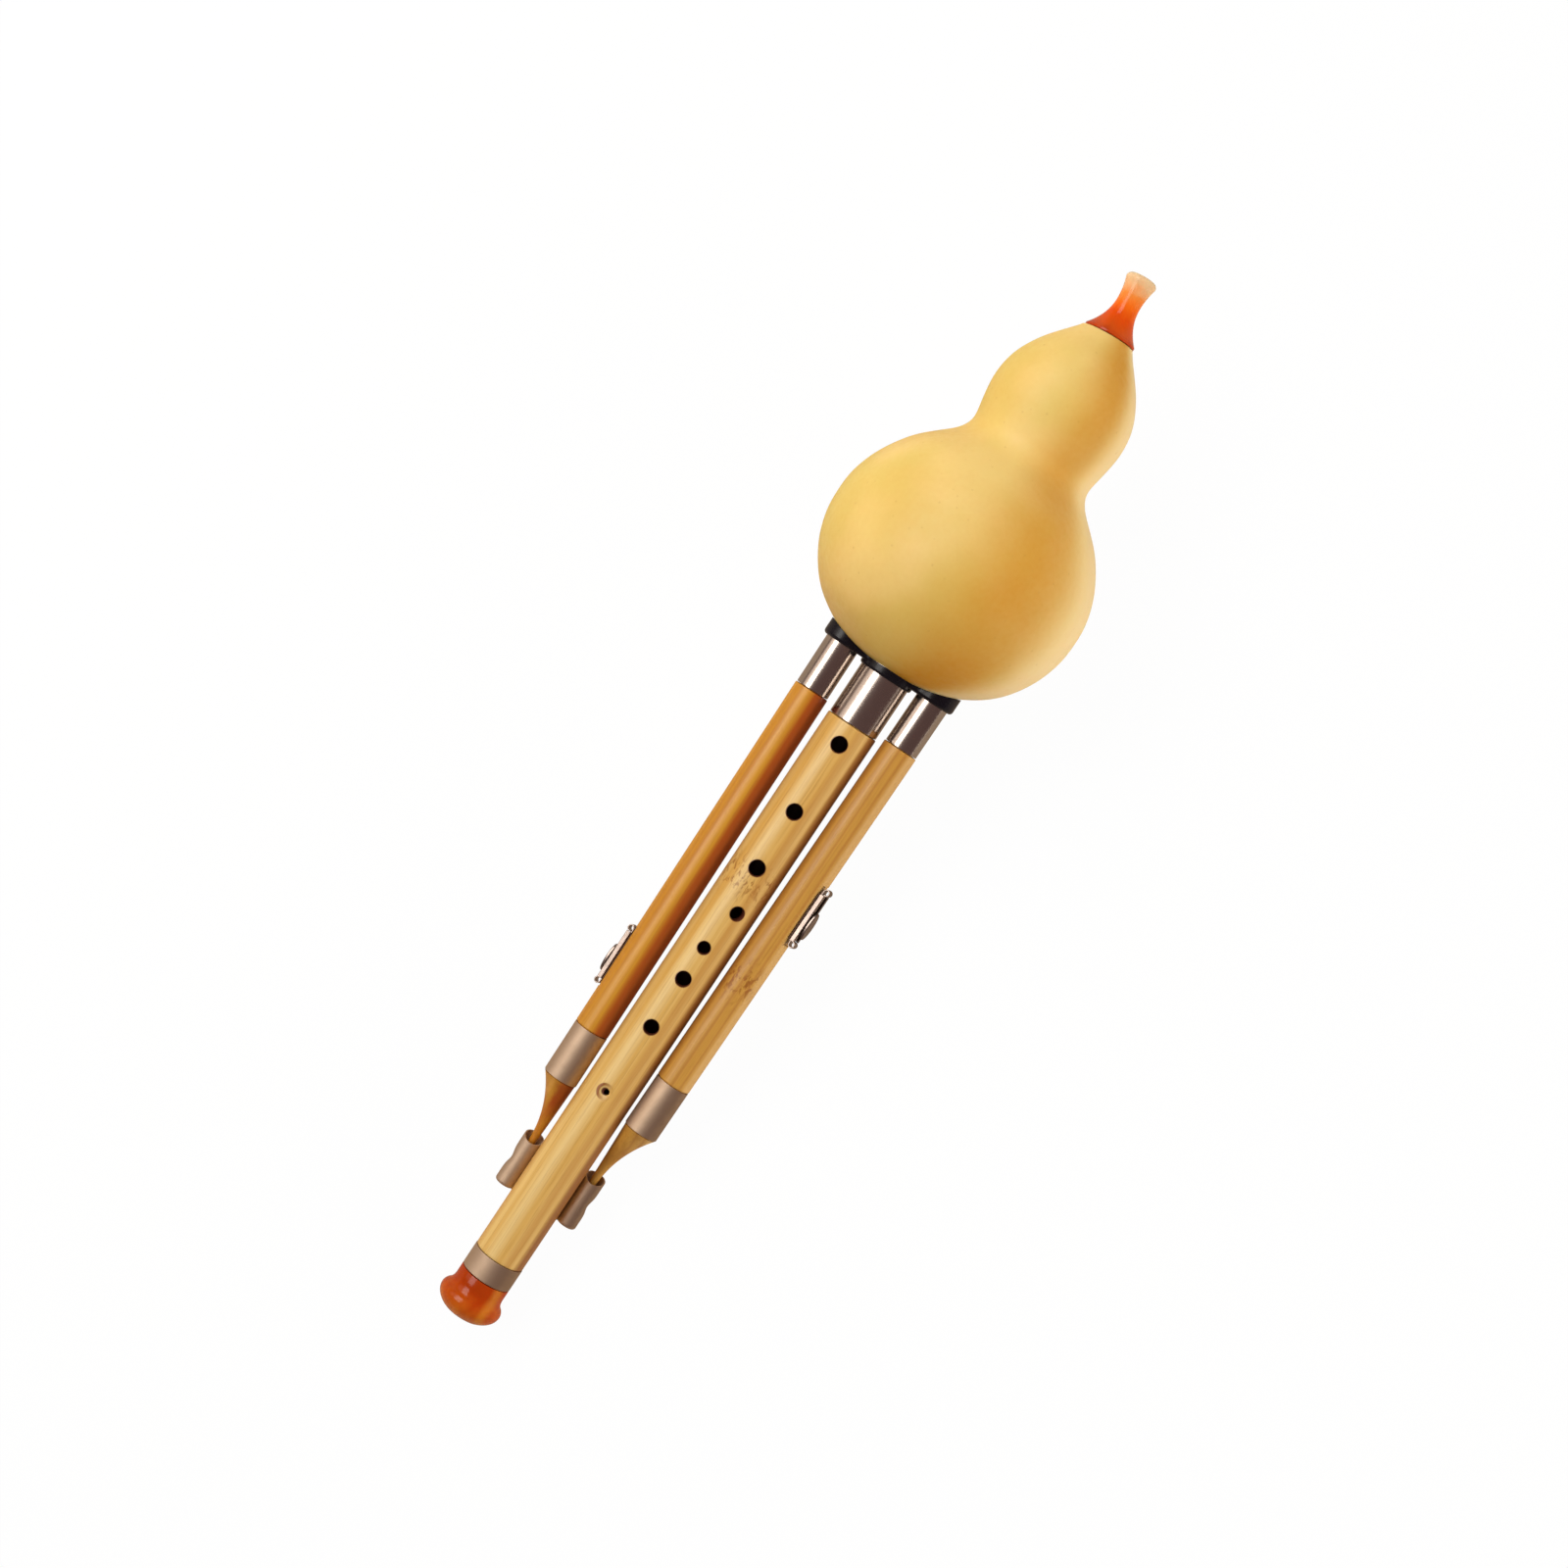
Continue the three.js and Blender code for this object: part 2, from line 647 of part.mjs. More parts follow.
function makeDronePipe(side, keyHeight, keyTurn) {
  const top = -seatGap;
  const foot = droneFoot;
  const low = foot - seatGap - ferruleLap;
  const spigotTop = top + droneSpigotLength;
  const body = revolve(profile(
    [droneBoreRadius, low],
    [ferruleSpigotRadius, low],
    [ferruleSpigotRadius, foot],
    [droneFootRadius - pipeEdge, foot],
    [droneFootRadius, foot + pipeEdge],
    [droneHeadRadius, top - pipeEdge],
    [droneHeadRadius - pipeEdge, top],
    [droneSpigotRadius, top],
    [droneSpigotRadius, spigotTop],
    [droneBoreRadius, spigotTop],
  ), droneFacets);
  const levels = keyLevels(keyHeight);
  const half = keyLength / 2 + seatGap;
  const beyond = droneHeadRadius + cutOverrun;
  const flat = block([levels.flat, -beyond, -half], [beyond, beyond, half]);
  const hole = keyBore(soundHoleRadius, 0, beyond, soundHolePlace());
  const cutters = [flat, hole, ...nails(levels, seatGap)];
  const frame = keyFrame(keyHeight, keyTurn).matrix;
  return cut(body, ...cutters.map((cutter) => cutter.applyMatrix4(frame)));
}

function makeFerrule() {
  const inner = ferruleRadius - ferruleWall;
  return tube(inner, ferruleRadius, ferruleBottom, ferruleTop, droneFacets);
}

// Tail whose inner and back edges run straight to the clip while the rest is scooped away
function makeTail(side) {
  const clipPoint = new THREE.Vector3(side * clipTubeX, clipTubeY, droneMouth + tailTip);
  const tip = clipPoint.applyMatrix4(droneFrame(side).matrix.invert());
  const lapTop = tailTop + seatGap + ferruleLap;
  const round = (radius) => () => radius;
  const rings = [
    ringAt(0, 0, lapTop, droneFacets, round(ferruleSpigotRadius)),
    ringAt(0, 0, tailTop, droneFacets, round(ferruleSpigotRadius)),
  ];
  for (let i = 0; i <= tailSteps; i += 1) {
    const share = i / tailSteps;
    const radius = mix(tailTipRadius, tailRadius, (1 - share) ** tailHollow);
    const inner = mix(-tailRadius, side * tip.x - tailTipRadius, share);
    const back = mix(tailRadius, tip.y + tailTipRadius, share);
    const x = side * (inner + radius);
    rings.push(ringAt(x, back - radius, mix(tailTop, tailTip, share), droneFacets, round(radius)));
  }
  return loft(rings, false);
}

// Place of a key on its drone: its own X points out of the pipe, its middle is the origin
function keyFrame(height, turn) {
  const frame = new THREE.Group();
  frame.position.z = height;
  frame.rotation.z = radians(turn);
  frame.updateMatrix();
  return frame;
}

function keyHeightOf(share) {
  return droneFoot + share * droneLength;
}

// Distances from the drone's axis to each layer of a key
function keyLevels(height) {
  const share = (height - droneFoot) / droneLength;
  const flat = mix(droneFootRadius, droneHeadRadius, share) - keyFlatDepth;
  const gasket = flat + seatGap;
  const plate = gasket + gasketThickness + seatGap;
  const tongue = plate + keyPlateThickness + seatGap;
  const lip = tongue + sliderThickness + seatGap;
  const knob = lip + keyLipThickness + seatGap;
  return { flat, gasket, plate, tongue, lip, knob };
}

// Half length of the channel between the two rolled ends
function channelHalf() {
  return keyLength / 2 - 2 * keyRollRadius;
}

function tongueHalf() {
  return channelHalf() - seatGap - keyTravel / 2;
}

// The hole lies under the slider at rest and is free once the slider has gone up
function soundHolePlace() {
  return -(channelHalf() - seatGap + tongueHalf() - keyTravel / 2) / 2;
}

// Round bore along the key's X
function keyBore(radius, from, to, height) {
  const bit = new THREE.CylinderGeometry(radius, radius, to - from, holeFacets);
  return bit.rotateZ(Math.PI / 2).translate((from + to) / 2, 0, height);
}

// The two countersunk nails under the slider, or their holes when given a clearance
function nails(levels, clearance) {
  const face = levels.plate + keyPlateThickness;
  const shank = nailShankRadius + clearance;
  const head = nailHeadRadius + clearance;
  return nailHeightShares.map((share) => {
    const nail = revolve([
      new THREE.Vector2(0, -nailLength - clearance),
      new THREE.Vector2(shank, -nailLength - clearance + nailPoint),
      new THREE.Vector2(shank, -nailHeadDepth),
      new THREE.Vector2(head, 0),
      new THREE.Vector2(head, clearance),
      new THREE.Vector2(0, clearance),
    ], nailFacets);
    return nail.rotateY(Math.PI / 2).translate(face, 0, share * keyLength);
  });
}

function makeKeyGasket(height) {
  const levels = keyLevels(height);
  const top = levels.gasket + gasketThickness;
  const half = channelHalf();
  const sheet = block([levels.gasket, -gasketHalfWidth, -half], [top, gasketHalfWidth, half]);
  const hole = keyBore(soundHoleRadius, 0, top + cutOverrun, soundHolePlace());
  return cut(sheet, hole, ...nails(levels, seatGap));
}

// Rolled stop at one end of the key plate, an arc that starts in the plate and closes over it
function keyRoll(levels, end) {
  const inner = keyRollRadius - keyPlateThickness;
  const centre = channelHalf() + keyRollRadius;
  const start = -Math.PI / 2;
  const stop = start + radians(keyRollSweep);
  const curl = new THREE.Shape();
  curl.absarc(0, 0, keyRollRadius, start, stop);
  curl.absarc(0, 0, inner, stop, start, true);
  curl.closePath();
  const depth = 2 * keyRollHalfWidth;
  const roll = new THREE.ExtrudeGeometry(curl, {
    depth, bevelEnabled: false, curveSegments: keyRollSteps,
  });
  const upright = new THREE.Matrix4().makeBasis(
    new THREE.Vector3(0, 0, 1), new THREE.Vector3(1, 0, 0), new THREE.Vector3(0, 1, 0),
  );
  roll.applyMatrix4(upright).translate(levels.plate + keyRollRadius, -keyRollHalfWidth, centre);
  return end > 0 ? roll : roll.rotateX(Math.PI);
}

// Channel with inturned lips, bent from one strip whose ends are rolled up as stops
function makeKeyPlate(height) {
  const levels = keyLevels(height);
  const face = levels.plate + keyPlateThickness;
  const lipTop = levels.lip + keyLipThickness;
  const inside = sliderHalfWidth + seatGap;
  const outside = inside + keyRailWall;
  const slot = stemHalfWidth + seatGap;
  const section = new THREE.Shape();
  section.moveTo(levels.plate, -outside);
  section.lineTo(lipTop, -outside);
  section.lineTo(lipTop, -slot);
  section.lineTo(levels.lip, -slot);
  section.lineTo(levels.lip, -inside);
  section.lineTo(face, -inside);
  section.lineTo(face, inside);
  section.lineTo(levels.lip, inside);
  section.lineTo(levels.lip, slot);
  section.lineTo(lipTop, slot);
  section.lineTo(lipTop, outside);
  section.lineTo(levels.plate, outside);
  section.closePath();
  const half = channelHalf();
  const channel = new THREE.ExtrudeGeometry(section, { depth: 2 * half, bevelEnabled: false });
  channel.translate(0, 0, -half);
  const reach = half + keyRollRadius;
  const width = keyRollHalfWidth;
  const strip = block([levels.plate, -width, -reach], [face, width, reach]);
  const body = join(channel, strip, keyRoll(levels, 1), keyRoll(levels, -1));
  const hole = keyBore(soundHoleRadius, 0, face + seatGap, soundHolePlace());
  return cut(body, hole, ...nails(levels, seatGap));
}

// Slider: a tongue that runs under the lips, a stem through their slot and a dished oval knob
function makeKeySlider(height) {
  const levels = keyLevels(height);
  const top = levels.knob + knobThickness;
  const reach = tongueHalf();
  const low = [levels.tongue, -sliderHalfWidth, -reach];
  const tongue = block(low, [levels.tongue + sliderThickness, sliderHalfWidth, reach]);
  const stem = block(
    [levels.tongue, -stemHalfWidth, -stemHalfLength],
    [levels.knob + knobRound, stemHalfWidth, stemHalfLength],
  );
  const knob = revolve([
    new THREE.Vector2(0, levels.knob),
    new THREE.Vector2(knobHalfWidth - knobRound, levels.knob),
    new THREE.Vector2(knobHalfWidth, levels.knob + knobRound),
    new THREE.Vector2(knobHalfWidth, top - knobRound),
    new THREE.Vector2(knobHalfWidth - knobRound, top),
    new THREE.Vector2(knobHalfWidth - knobRim, top - knobDish / 2),
    new THREE.Vector2(0, top - knobDish),
  ], droneFacets);
  knob.rotateY(Math.PI / 2).scale(1, 1, knobHalfLength / knobHalfWidth);
  return join(tongue, stem, knob).translate(0, 0, -keyTravel / 2);
}

// Finishes
function bamboo(color) {
  return new THREE.MeshStandardMaterial({ color, roughness: 0.55, metalness: 0 });
}

function nickel(roughness) {
  return new THREE.MeshStandardMaterial({ color: 0xc9c0b6, roughness, metalness: 1 });
}

function brass() {
  return new THREE.MeshStandardMaterial({ color: 0xc9a04e, roughness: 0.35, metalness: 1 });
}

function thread() {
  return new THREE.MeshStandardMaterial({ color: 0xefe6d2, roughness: 0.9, metalness: 0 });
}

function plainFinish(color, roughness) {
  return new THREE.MeshStandardMaterial({ color, roughness, metalness: 0 });
}

function piece(name, geometry, material) {
  const welded = weld(geometry);
  welded.computeVertexNormals();
  const mesh = new THREE.Mesh(welded, material);
  mesh.name = name;
  return mesh;
}

// Drone with its socket, reed, tail and key, in the frame of its own axis
function makeDrone(side) {
  const word = side < 0 ? 'left' : 'right';
  const height = keyHeightOf(side < 0 ? leftKeyHeightShare : rightKeyHeightShare);
  const turn = side < 0 ? leftKeyTurn : rightKeyTurn;
  const seat = droneSpigotLength;
  const lapFoot = lappingInset - seatGap;
  const lapping = makeLapping(
    droneSpigotRadius, droneLappingThickness, droneLappingLength, lapFoot, droneFacets,
  );
  const drone = droneFrame(side);
  drone.add(piece(`${word}_socket`, makeDroneSocket(), nickel(0.16)));
  drone.add(piece(`${word}_drone_pipe`, makeDronePipe(side, height, turn), bamboo(0xd39a42)));
  drone.add(piece(`${word}_lapping`, lapping, thread()));
  drone.add(piece(`${word}_reed_tube`, makeReedTube(droneReed, droneBoreRadius, seat), bamboo(0xcaa468)));
  drone.add(piece(`${word}_reed`, makeReed(droneReed, seat), brass()));
  drone.add(piece(`${word}_reed_plug`, makeReedPlug(droneReed, seat), plainFinish(0x8a6a44, 0.7)));
  drone.add(piece(`${word}_tail_ferrule`, makeFerrule(), nickel(0.24)));
  drone.add(piece(`${word}_tail`, makeTail(side), bamboo(0xd39a42)));
  const key = keyFrame(height, turn);
  key.add(piece(`${word}_key_gasket`, makeKeyGasket(height), plainFinish(0x6b4630, 0.85)));
  key.add(piece(`${word}_key_plate`, makeKeyPlate(height), nickel(0.2)));
  nails(keyLevels(height), 0).forEach((nail, i) => {
    key.add(piece(`${word}_key_nail_${nailNames[i]}`, nail, brass()));
  });
  key.add(piece(`${word}_key_slider`, makeKeySlider(height), nickel(0.18)));
  drone.add(key);
  return drone;
}

// Everything on the main axis, with the drones and the mouthpiece in their own frames
function makeUpright() {
  const upright = new THREE.Group();
  const seat = pipeHead + mainSpigotLength + seatGap;
  const lapFoot = pipeHead + lappingInset;
  const lapping = makeLapping(
    mainSpigotRadius, mainLappingThickness, mainLappingLength, lapFoot, pipeFacets,
  );
  upright.add(piece('gourd_body', makeGourd(), plainFinish(0xe6bd6a, 0.5)));
  upright.add(piece('base_plate', makeBasePlate(), plainFinish(0x141018, 0.35)));
  upright.add(piece('main_socket', makeMainSocket(), nickel(0.16)));
  upright.add(piece('main_pipe', makeMainPipe(), bamboo(0xdcb470)));
  upright.add(piece('bell', makeBell(), plainFinish(0xb4480c, 0.2)));
  upright.add(piece('bell_ring', makeBellRing(), nickel(0.24)));
  upright.add(piece('tail_clip', makeTailClip(), nickel(0.3)));
  upright.add(piece('main_lapping', lapping, thread()));
  upright.add(piece('main_reed_tube', makeReedTube(mainReed, pipeBoreRadius, seat), bamboo(0xcaa468)));
  upright.add(piece('main_reed', makeReed(mainReed, seat), brass()));
  upright.add(piece('main_reed_plug', makeReedPlug(mainReed, seat), plainFinish(0x8a6a44, 0.7)));
  const mouth = mouthFrame();
  mouth.add(piece('mouthpiece', makeMouthpiece(), plainFinish(0xd8571a, 0.22)));
  upright.add(mouth, makeDrone(-1), makeDrone(1));
  return upright;
}

// Height of a mesh's lowest point when the instrument lies back at a tilt
function lowest(mesh, tilt) {
  const place = mesh.geometry.getAttribute('position');
  let height = Infinity;
  for (let i = 0; i < place.count; i += 1) {
    height = Math.min(height, place.getZ(i) * Math.sin(tilt) - place.getY(i) * Math.cos(tilt));
  }
  return height;
}

// Tilt at which the gourd and the bell both touch the table, found by halving
function restTilt(gourd, bell) {
  let low = 0;
  let high = Math.PI / 4;
  for (let i = 0; i < 48; i += 1) {
    const tilt = (low + high) / 2;
    if (lowest(gourd, tilt) < lowest(bell, tilt)) {
      low = tilt;
    } else {
      high = tilt;
    }
  }
  return (low + high) / 2;
}

// The instrument at rest on the plane z = 0, over the middle of the space that it takes
function layDown(upright) {
  const tilt = restTilt(upright.getObjectByName('gourd_body'), upright.getObjectByName('bell'));
  upright.rotation.x = tilt - Math.PI / 2;
  const resting = new THREE.Group();
  resting.add(upright);
  resting.updateMatrixWorld(true);
  const box = new THREE.Box3().setFromObject(resting, true);
  const middle = box.getCenter(new THREE.Vector3());
  upright.position.set(-middle.x, -middle.y, -box.min.z);
  resting.updateMatrixWorld(true);
  return resting;
}

export default layDown(makeUpright());
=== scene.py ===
# Hulusi, a gourd flute with free reeds, dressed over its CAD frame. Shapes are drawn upright in
# millimetres, the bell at the bottom and the finger holes towards -Y, and are then laid down.
import json
import math
from contextlib import contextmanager

import bmesh
import bpy
from mathutils import Matrix, Vector, noise


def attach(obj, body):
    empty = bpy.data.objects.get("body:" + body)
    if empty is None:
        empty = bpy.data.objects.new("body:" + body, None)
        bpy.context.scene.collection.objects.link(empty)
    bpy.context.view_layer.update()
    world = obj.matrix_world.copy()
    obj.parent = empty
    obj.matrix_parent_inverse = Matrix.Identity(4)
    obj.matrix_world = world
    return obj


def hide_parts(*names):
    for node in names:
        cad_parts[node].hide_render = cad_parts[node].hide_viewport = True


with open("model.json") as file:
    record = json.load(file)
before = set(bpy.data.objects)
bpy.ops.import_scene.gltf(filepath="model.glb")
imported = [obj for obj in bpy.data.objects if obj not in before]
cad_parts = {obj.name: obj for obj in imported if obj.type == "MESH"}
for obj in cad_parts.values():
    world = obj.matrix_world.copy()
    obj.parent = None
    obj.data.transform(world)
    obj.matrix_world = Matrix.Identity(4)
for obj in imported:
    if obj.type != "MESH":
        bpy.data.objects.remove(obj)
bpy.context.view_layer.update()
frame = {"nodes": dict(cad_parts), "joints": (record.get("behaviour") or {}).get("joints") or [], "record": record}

bl_info = {
    "name": "Hulusi",
    "version": (1, 0, 0),
    "blender": (4, 5, 0),
    "location": "View3D > Sidebar > Hulusi",
    "description": "Dresses a gourd flute with two drones and slide keys",
    "category": "Add Mesh",
}

MM = 0.001
PLACE_ATTRIBUTE = "upright_mm"
TURN = 2 * math.pi
SMOOTH = "SMOOTHSTEP"
SIDES = {"left": -1, "right": 1}

# Room between pieces, walls, depths and the drones' lower spigots in millimetres, as in the CAD
SEAT_GAP = 0.3
PLATE_GAP = SEAT_GAP * 0.5
RING_WALL = 0.8
MAIN_SOCKET_WALL = 0.55
THIN_WALL = 0.45
MAIN_SOCKET_DEPTH = 14
DRONE_SOCKET_LENGTH = 36.5
FERRULE_SPIGOT = 5.5
FERRULE_SPIGOT_LENGTH = 8.3

# Heights along the melody pipe, in millimetres above the bell's end, as in the CAD
RING_BOTTOM = 15.4
PIPE_FOOT = 23.7
CLIP_BOTTOM = 44.3
PIPE_HEAD = 242.3
MAIN_SOCKET_MOUTH = 242.6
DRONE_MOUTH = 244.8
PLATE_BOTTOM = 263.3
GOURD_BOTTOM = 263.7
MOUTH_SEAT = 397.4
SPAN = PIPE_HEAD - PIPE_FOOT


# ---------------------------------------------------------------- colours and node helper
def linear(code):
    """sRGB hex code as linear red, green, blue and alpha."""
    shares = [int(code[i:i + 2], 16) / 255 for i in (0, 2, 4)]
    straight = [s / 12.92 if s <= 0.04045 else ((s + 0.055) / 1.055) ** 2.4 for s in shares]
    return (*straight, 1.0)


def shade(colour, factor, lift=0.0):
    """The colour made darker or lighter, at most white."""
    return (*(min(c * factor + lift, 1.0) for c in colour[:3]), 1.0)


def add(tree, kind, *values, stops=(), **more):
    """A node whose inputs in use take the values in order. A name with a capital is one more
    input, a name without is a setting, and a node as a value stands for its first output."""
    node = tree.nodes.new(kind)
    for key, value in more.items():
        if key.islower():
            setattr(node, key, value)
    given = list(zip([s for s in node.inputs if s.enabled], values))
    given += [(node.inputs[key.replace("_", " ")], value)
              for key, value in more.items() if not key.islower()]
    for socket, value in given:
        if isinstance(value, bpy.types.Node):
            value = next(s for s in value.outputs if s.enabled)
        if isinstance(value, bpy.types.NodeSocket):
            tree.links.new(value, socket)
        else:
            socket.default_value = value
    if stops:
        elements = node.color_ramp.elements
        while len(elements) < len(stops):
            elements.new(1.0)
        for element, (position, colour) in zip(elements, stops):
            element.position = position
            element.color = colour
    return node


def number(name, description, default, **more):
    """A number that a user may change."""
    return bpy.props.FloatProperty(name=name, description=description, default=default, **more)


def length(name, description, millimetres):
    """A size that a user may change, kept in metres."""
    return number(name, description, millimetres * MM, min=0.0, unit="LENGTH", precision=5)


def lean(name, description, degrees):
    return number(name, description, math.radians(degrees), subtype="ANGLE")


def tint(name, description, code):
    """A colour that a user may change, given as an sRGB hex code."""
    return bpy.props.FloatVectorProperty(
        name=name, description=description, default=linear(code), size=4,
        min=0.0, max=1.0, subtype="COLOR",
    )


# ---------------------------------------------------------------- sizes and colours
class GourdSettings(bpy.types.PropertyGroup):
    height: length("Height", "From the gourd's bottom to its neck", 134.6)
    radius: length("Radius", "Widest radius of the lower bulb", 47.6)
    wall: length("Wall", "Thickness of the dried shell", 3)
    shift: length("Shift", "How far the gourd grew to the left of the pipes", 0.45)
    skin: tint("Skin", "Straw yellow of the scraped skin", "EBC978")
    # Blush: the skin's deeper patches, and painted shade on its right side and towards its bottom
    blush_and_shade: tint("Blush", "Deeper patches of the skin", "CC8A1A")
    olive: tint("Olive", "Greener patches of the skin", "D9BC58")
    # Cream: a painted rim light on the skin's far right flank
    cream: tint("Cream", "Paler flank of the skin", "F0D6A8")
    pore: tint("Pore", "Small pores and scars", "B9863A")


class MouthSettings(bpy.types.PropertyGroup):
    height: length("Height", "From the skirt to the tip", 22.59)
    skirt: length("Skirt radius", "Radius where it sits on the gourd", 9.25)
    waist: length("Waist radius", "Radius at its narrowest", 4.25)
    tip: length("Tip radius", "Radius of the flared tip", 5.5)
    tilt: lean("Tilt", "Lean towards the left", 3.4)
    ruby: tint("Ruby", "Resin at the skirt", "CC4E10")
    orange: tint("Orange", "Resin at the waist", "F06A12")
    cream: tint("Cream", "Resin at the tip", "EAB885")


class BaseSettings(bpy.types.PropertyGroup):
    rise: length("Rise", "Height of the plate before it is fitted to the gourd", 9)
    main_collar: length("Main collar radius", "Collar of the melody pipe", 10.05)
    drone_collar: length("Drone collar radius", "Collar of each drone", 7.93)
    web: length("Web half width", "Half width between the collars", 6)
    black: tint("Black", "Moulded plastic", "0E0B12")
    main_socket: length("Main socket radius", "Outside of the melody pipe's socket", 9.2)
    drone_socket: length("Drone socket radius", "Outside of a drone's socket", 6.05)
    nickel: tint("Nickel", "Polished nickel plate", "C6BAB0")


class MelodySettings(bpy.types.PropertyGroup):
    foot: length("Foot radius", "Bamboo radius at the bell", 9.25)
    head: length("Head radius", "Bamboo radius at the socket", 9.55)
    bore: length("Bore radius", "Radius of the bore", 6)
    pale: tint("Pale", "Light bands of the bamboo", "E2BC72")
    honey: tint("Honey", "Darker bands of the bamboo", "D2A04E")
    scar: tint("Scar", "Marks of the bamboo's node", "95591C")
    burn: tint("Burn", "Walls of the burnt holes", "5A2A1A")


class BellSettings(bpy.types.PropertyGroup):
    height: length("Height", "From the end to the ring", 15.1)
    lip: length("Lip radius", "Radius of the rolled lip", 11.74)
    neck: length("Neck radius", "Radius under the ring", 9.35)
    amber: tint("Amber", "Resin in the neck", "AA3804")
    glow: tint("Glow", "Resin in the thin lip", "CE6A18")
    ring: length("Ring radius", "Outside of the metal ring", 9.35)
    satin: tint("Satin", "Satin nickel of the ring, ferrules and clip", "D8BFA4")


class DroneSettings(bpy.types.PropertyGroup):
    length: length("Length", "Bamboo between socket and ferrule", 137.5)
    spread: length("Spread", "From the melody pipe's axis at the sockets", 17.95)
    closing: lean("Closing", "Lean of each drone towards the bell", 0.52)
    foot: length("Foot radius", "Bamboo radius at the ferrule", 6.3)
    head: length("Head radius", "Bamboo radius at the socket", 6.35)
    left_pale: tint("Left light", "Light bands of the left drone", "CC8E20")
    left_deep: tint("Left deep", "Darker bands of the left drone", "B66E0E")
    right_pale: tint("Right light", "Light bands of the right drone", "C7923E")
    right_deep: tint("Right deep", "Darker bands of the right drone", "AE772B")


class TailSettings(bpy.types.PropertyGroup):
    ferrule: length("Ferrule length", "Metal ferrule at a drone's foot", 19.7)
    ferrule_radius: length("Ferrule radius", "Outside of the ferrule", 6.25)
    radius: length("Tail radius", "Tail under the ferrule", 5.95)
    tip: length("Tip radius", "Tip of the tail", 1.25)
    length: length("Tail length", "From the ferrule to the tip", 28.6)
    hollow: number("Hollow", "How early the tail is scooped away", 2.2, min=1.0)
    clip: length("Clip length", "Length of the clip's tubes", 20.6)
    tube: length("Tube radius", "Outside of the clip's tubes", 3.7)


class KeySettings(bpy.types.PropertyGroup):
    length: length("Length", "Key plate with its rolled ends", 23.6)
    roll: length("Roll radius", "Rolled stops at both ends", 1.25)
    knob: length("Knob half length", "Half of the oval knob", 5.25)
    knob_width: length("Knob half width", "Half of the oval knob's width", 2.6)
    travel: length("Travel", "Way of the slider", 4.4)
    nickel: tint("Nickel", "Nickel of the keys, dulled by handling", "A4948A")


class ReedSettings(bpy.types.PropertyGroup):
    thread: length("Thread", "Thickness of the main lapping's thread", 0.45)
    cotton: tint("Cotton", "Waxed cotton thread", "EFE6D2")
    brass: tint("Brass", "Rolled brass of the reeds and nails", "C9A04E")
    raw: tint("Raw bamboo", "Thin reed tubes", "CAA468")
    plug: tint("Plug", "Turned hardwood plugs", "8A6A44")
    hide: tint("Leather", "Oiled leather under the key plates", "6B4630")


class StageSettings(bpy.types.PropertyGroup):
    lens: number("Lens", "Focal length on a 36 mm sensor", 61.078)
    distance: length("Distance", "From the middle of the instrument", 900)
    yaw: lean("Yaw", "Camera round the instrument's axis", 1.4057)
    pitch: lean("Pitch", "Camera above the square view", 4.0333)
    roll: lean("Roll", "Camera about its own axis", 33.596)
    aside: length("Aside", "Object's middle right of the picture's middle", 4.703)
    below: length("Below", "Object's middle below the picture's middle", 7.947)
    floor: tint("Floor", "Plain floor", "F4F2EF")
    key: number("Key light", "Softbox on the left", 16.0, unit="POWER")
    side: number("Side light", "Dim panel beside the softbox", 1.7, unit="POWER")
    fill: number("Fill light", "Matt panel on the right", 10.5, unit="POWER")
    rim: number("Rim light", "Narrow strip on the right", 0.18, unit="POWER")
    room: number("Room light", "Light from all round", 0.27, min=0.0)


GROUPS = {
    "hulusi_gourd": GourdSettings, "hulusi_mouth": MouthSettings, "hulusi_base": BaseSettings,
    "hulusi_melody": MelodySettings, "hulusi_bell": BellSettings, "hulusi_drone": DroneSettings,
    "hulusi_tail": TailSettings, "hulusi_key": KeySettings, "hulusi_reed": ReedSettings,
    "hulusi_stage": StageSettings,
}


class Sizes:
    """A property group read in millimetres where a property is a length."""

    def __init__(self, group):
        for name, definition in group.bl_rna.properties.items():
            if name in ("rna_type", "name"):
                continue
            value = getattr(group, name)
            if definition.unit == "LENGTH":
                value = value / MM
            elif definition.type == "FLOAT" and definition.is_array:
                value = tuple(value)
            setattr(self, name, value)


def sizes(name):
    return Sizes(getattr(bpy.context.scene, "hulusi_" + name))


# ---------------------------------------------------------------- places
def upright_place():
    """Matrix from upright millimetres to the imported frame, taken from a joint and a mount."""
    joint = next(j for j in frame["joints"] if j["name"] == "melody_pipe_pull")
    mount = next(m for m in frame["record"]["mounts"] if m["name"] == "bell_end")
    up = -Vector(joint["axis"]).normalized()
    side = Vector((1, 0, 0))
    back = up.cross(side)
    mount_offset = 5.8 * MM
    origin = Vector(mount["pos_m"]) + back * mount_offset
    turned = Matrix((side, back, up)).transposed().to_4x4()
    return Matrix.Translation(origin) @ turned @ Matrix.Scale(MM, 4)


UPRIGHT = upright_place()


def drone_place(side):
    """Place of a drone, whose own origin is the mouth of its socket."""
    drone = sizes("drone")
    move = Matrix.Translation((side * drone.spread, 0, DRONE_MOUTH))
    return move @ Matrix.Rotation(side * drone.closing, 4, "Y")


def mouth_place():
    move = Matrix.Translation((-sizes("gourd").shift, 0, MOUTH_SEAT))
    return move @ Matrix.Rotation(-sizes("mouth").tilt, 4, "Y")


def drill_place(height, turn):
    """Place of a drill whose own Z leaves the pipe at its front, turned towards the right."""
    move = Matrix.Translation((0, 0, height)) @ Matrix.Rotation(math.radians(turn), 4, "Z")
    return move @ Matrix.Rotation(math.pi / 2, 4, "X")


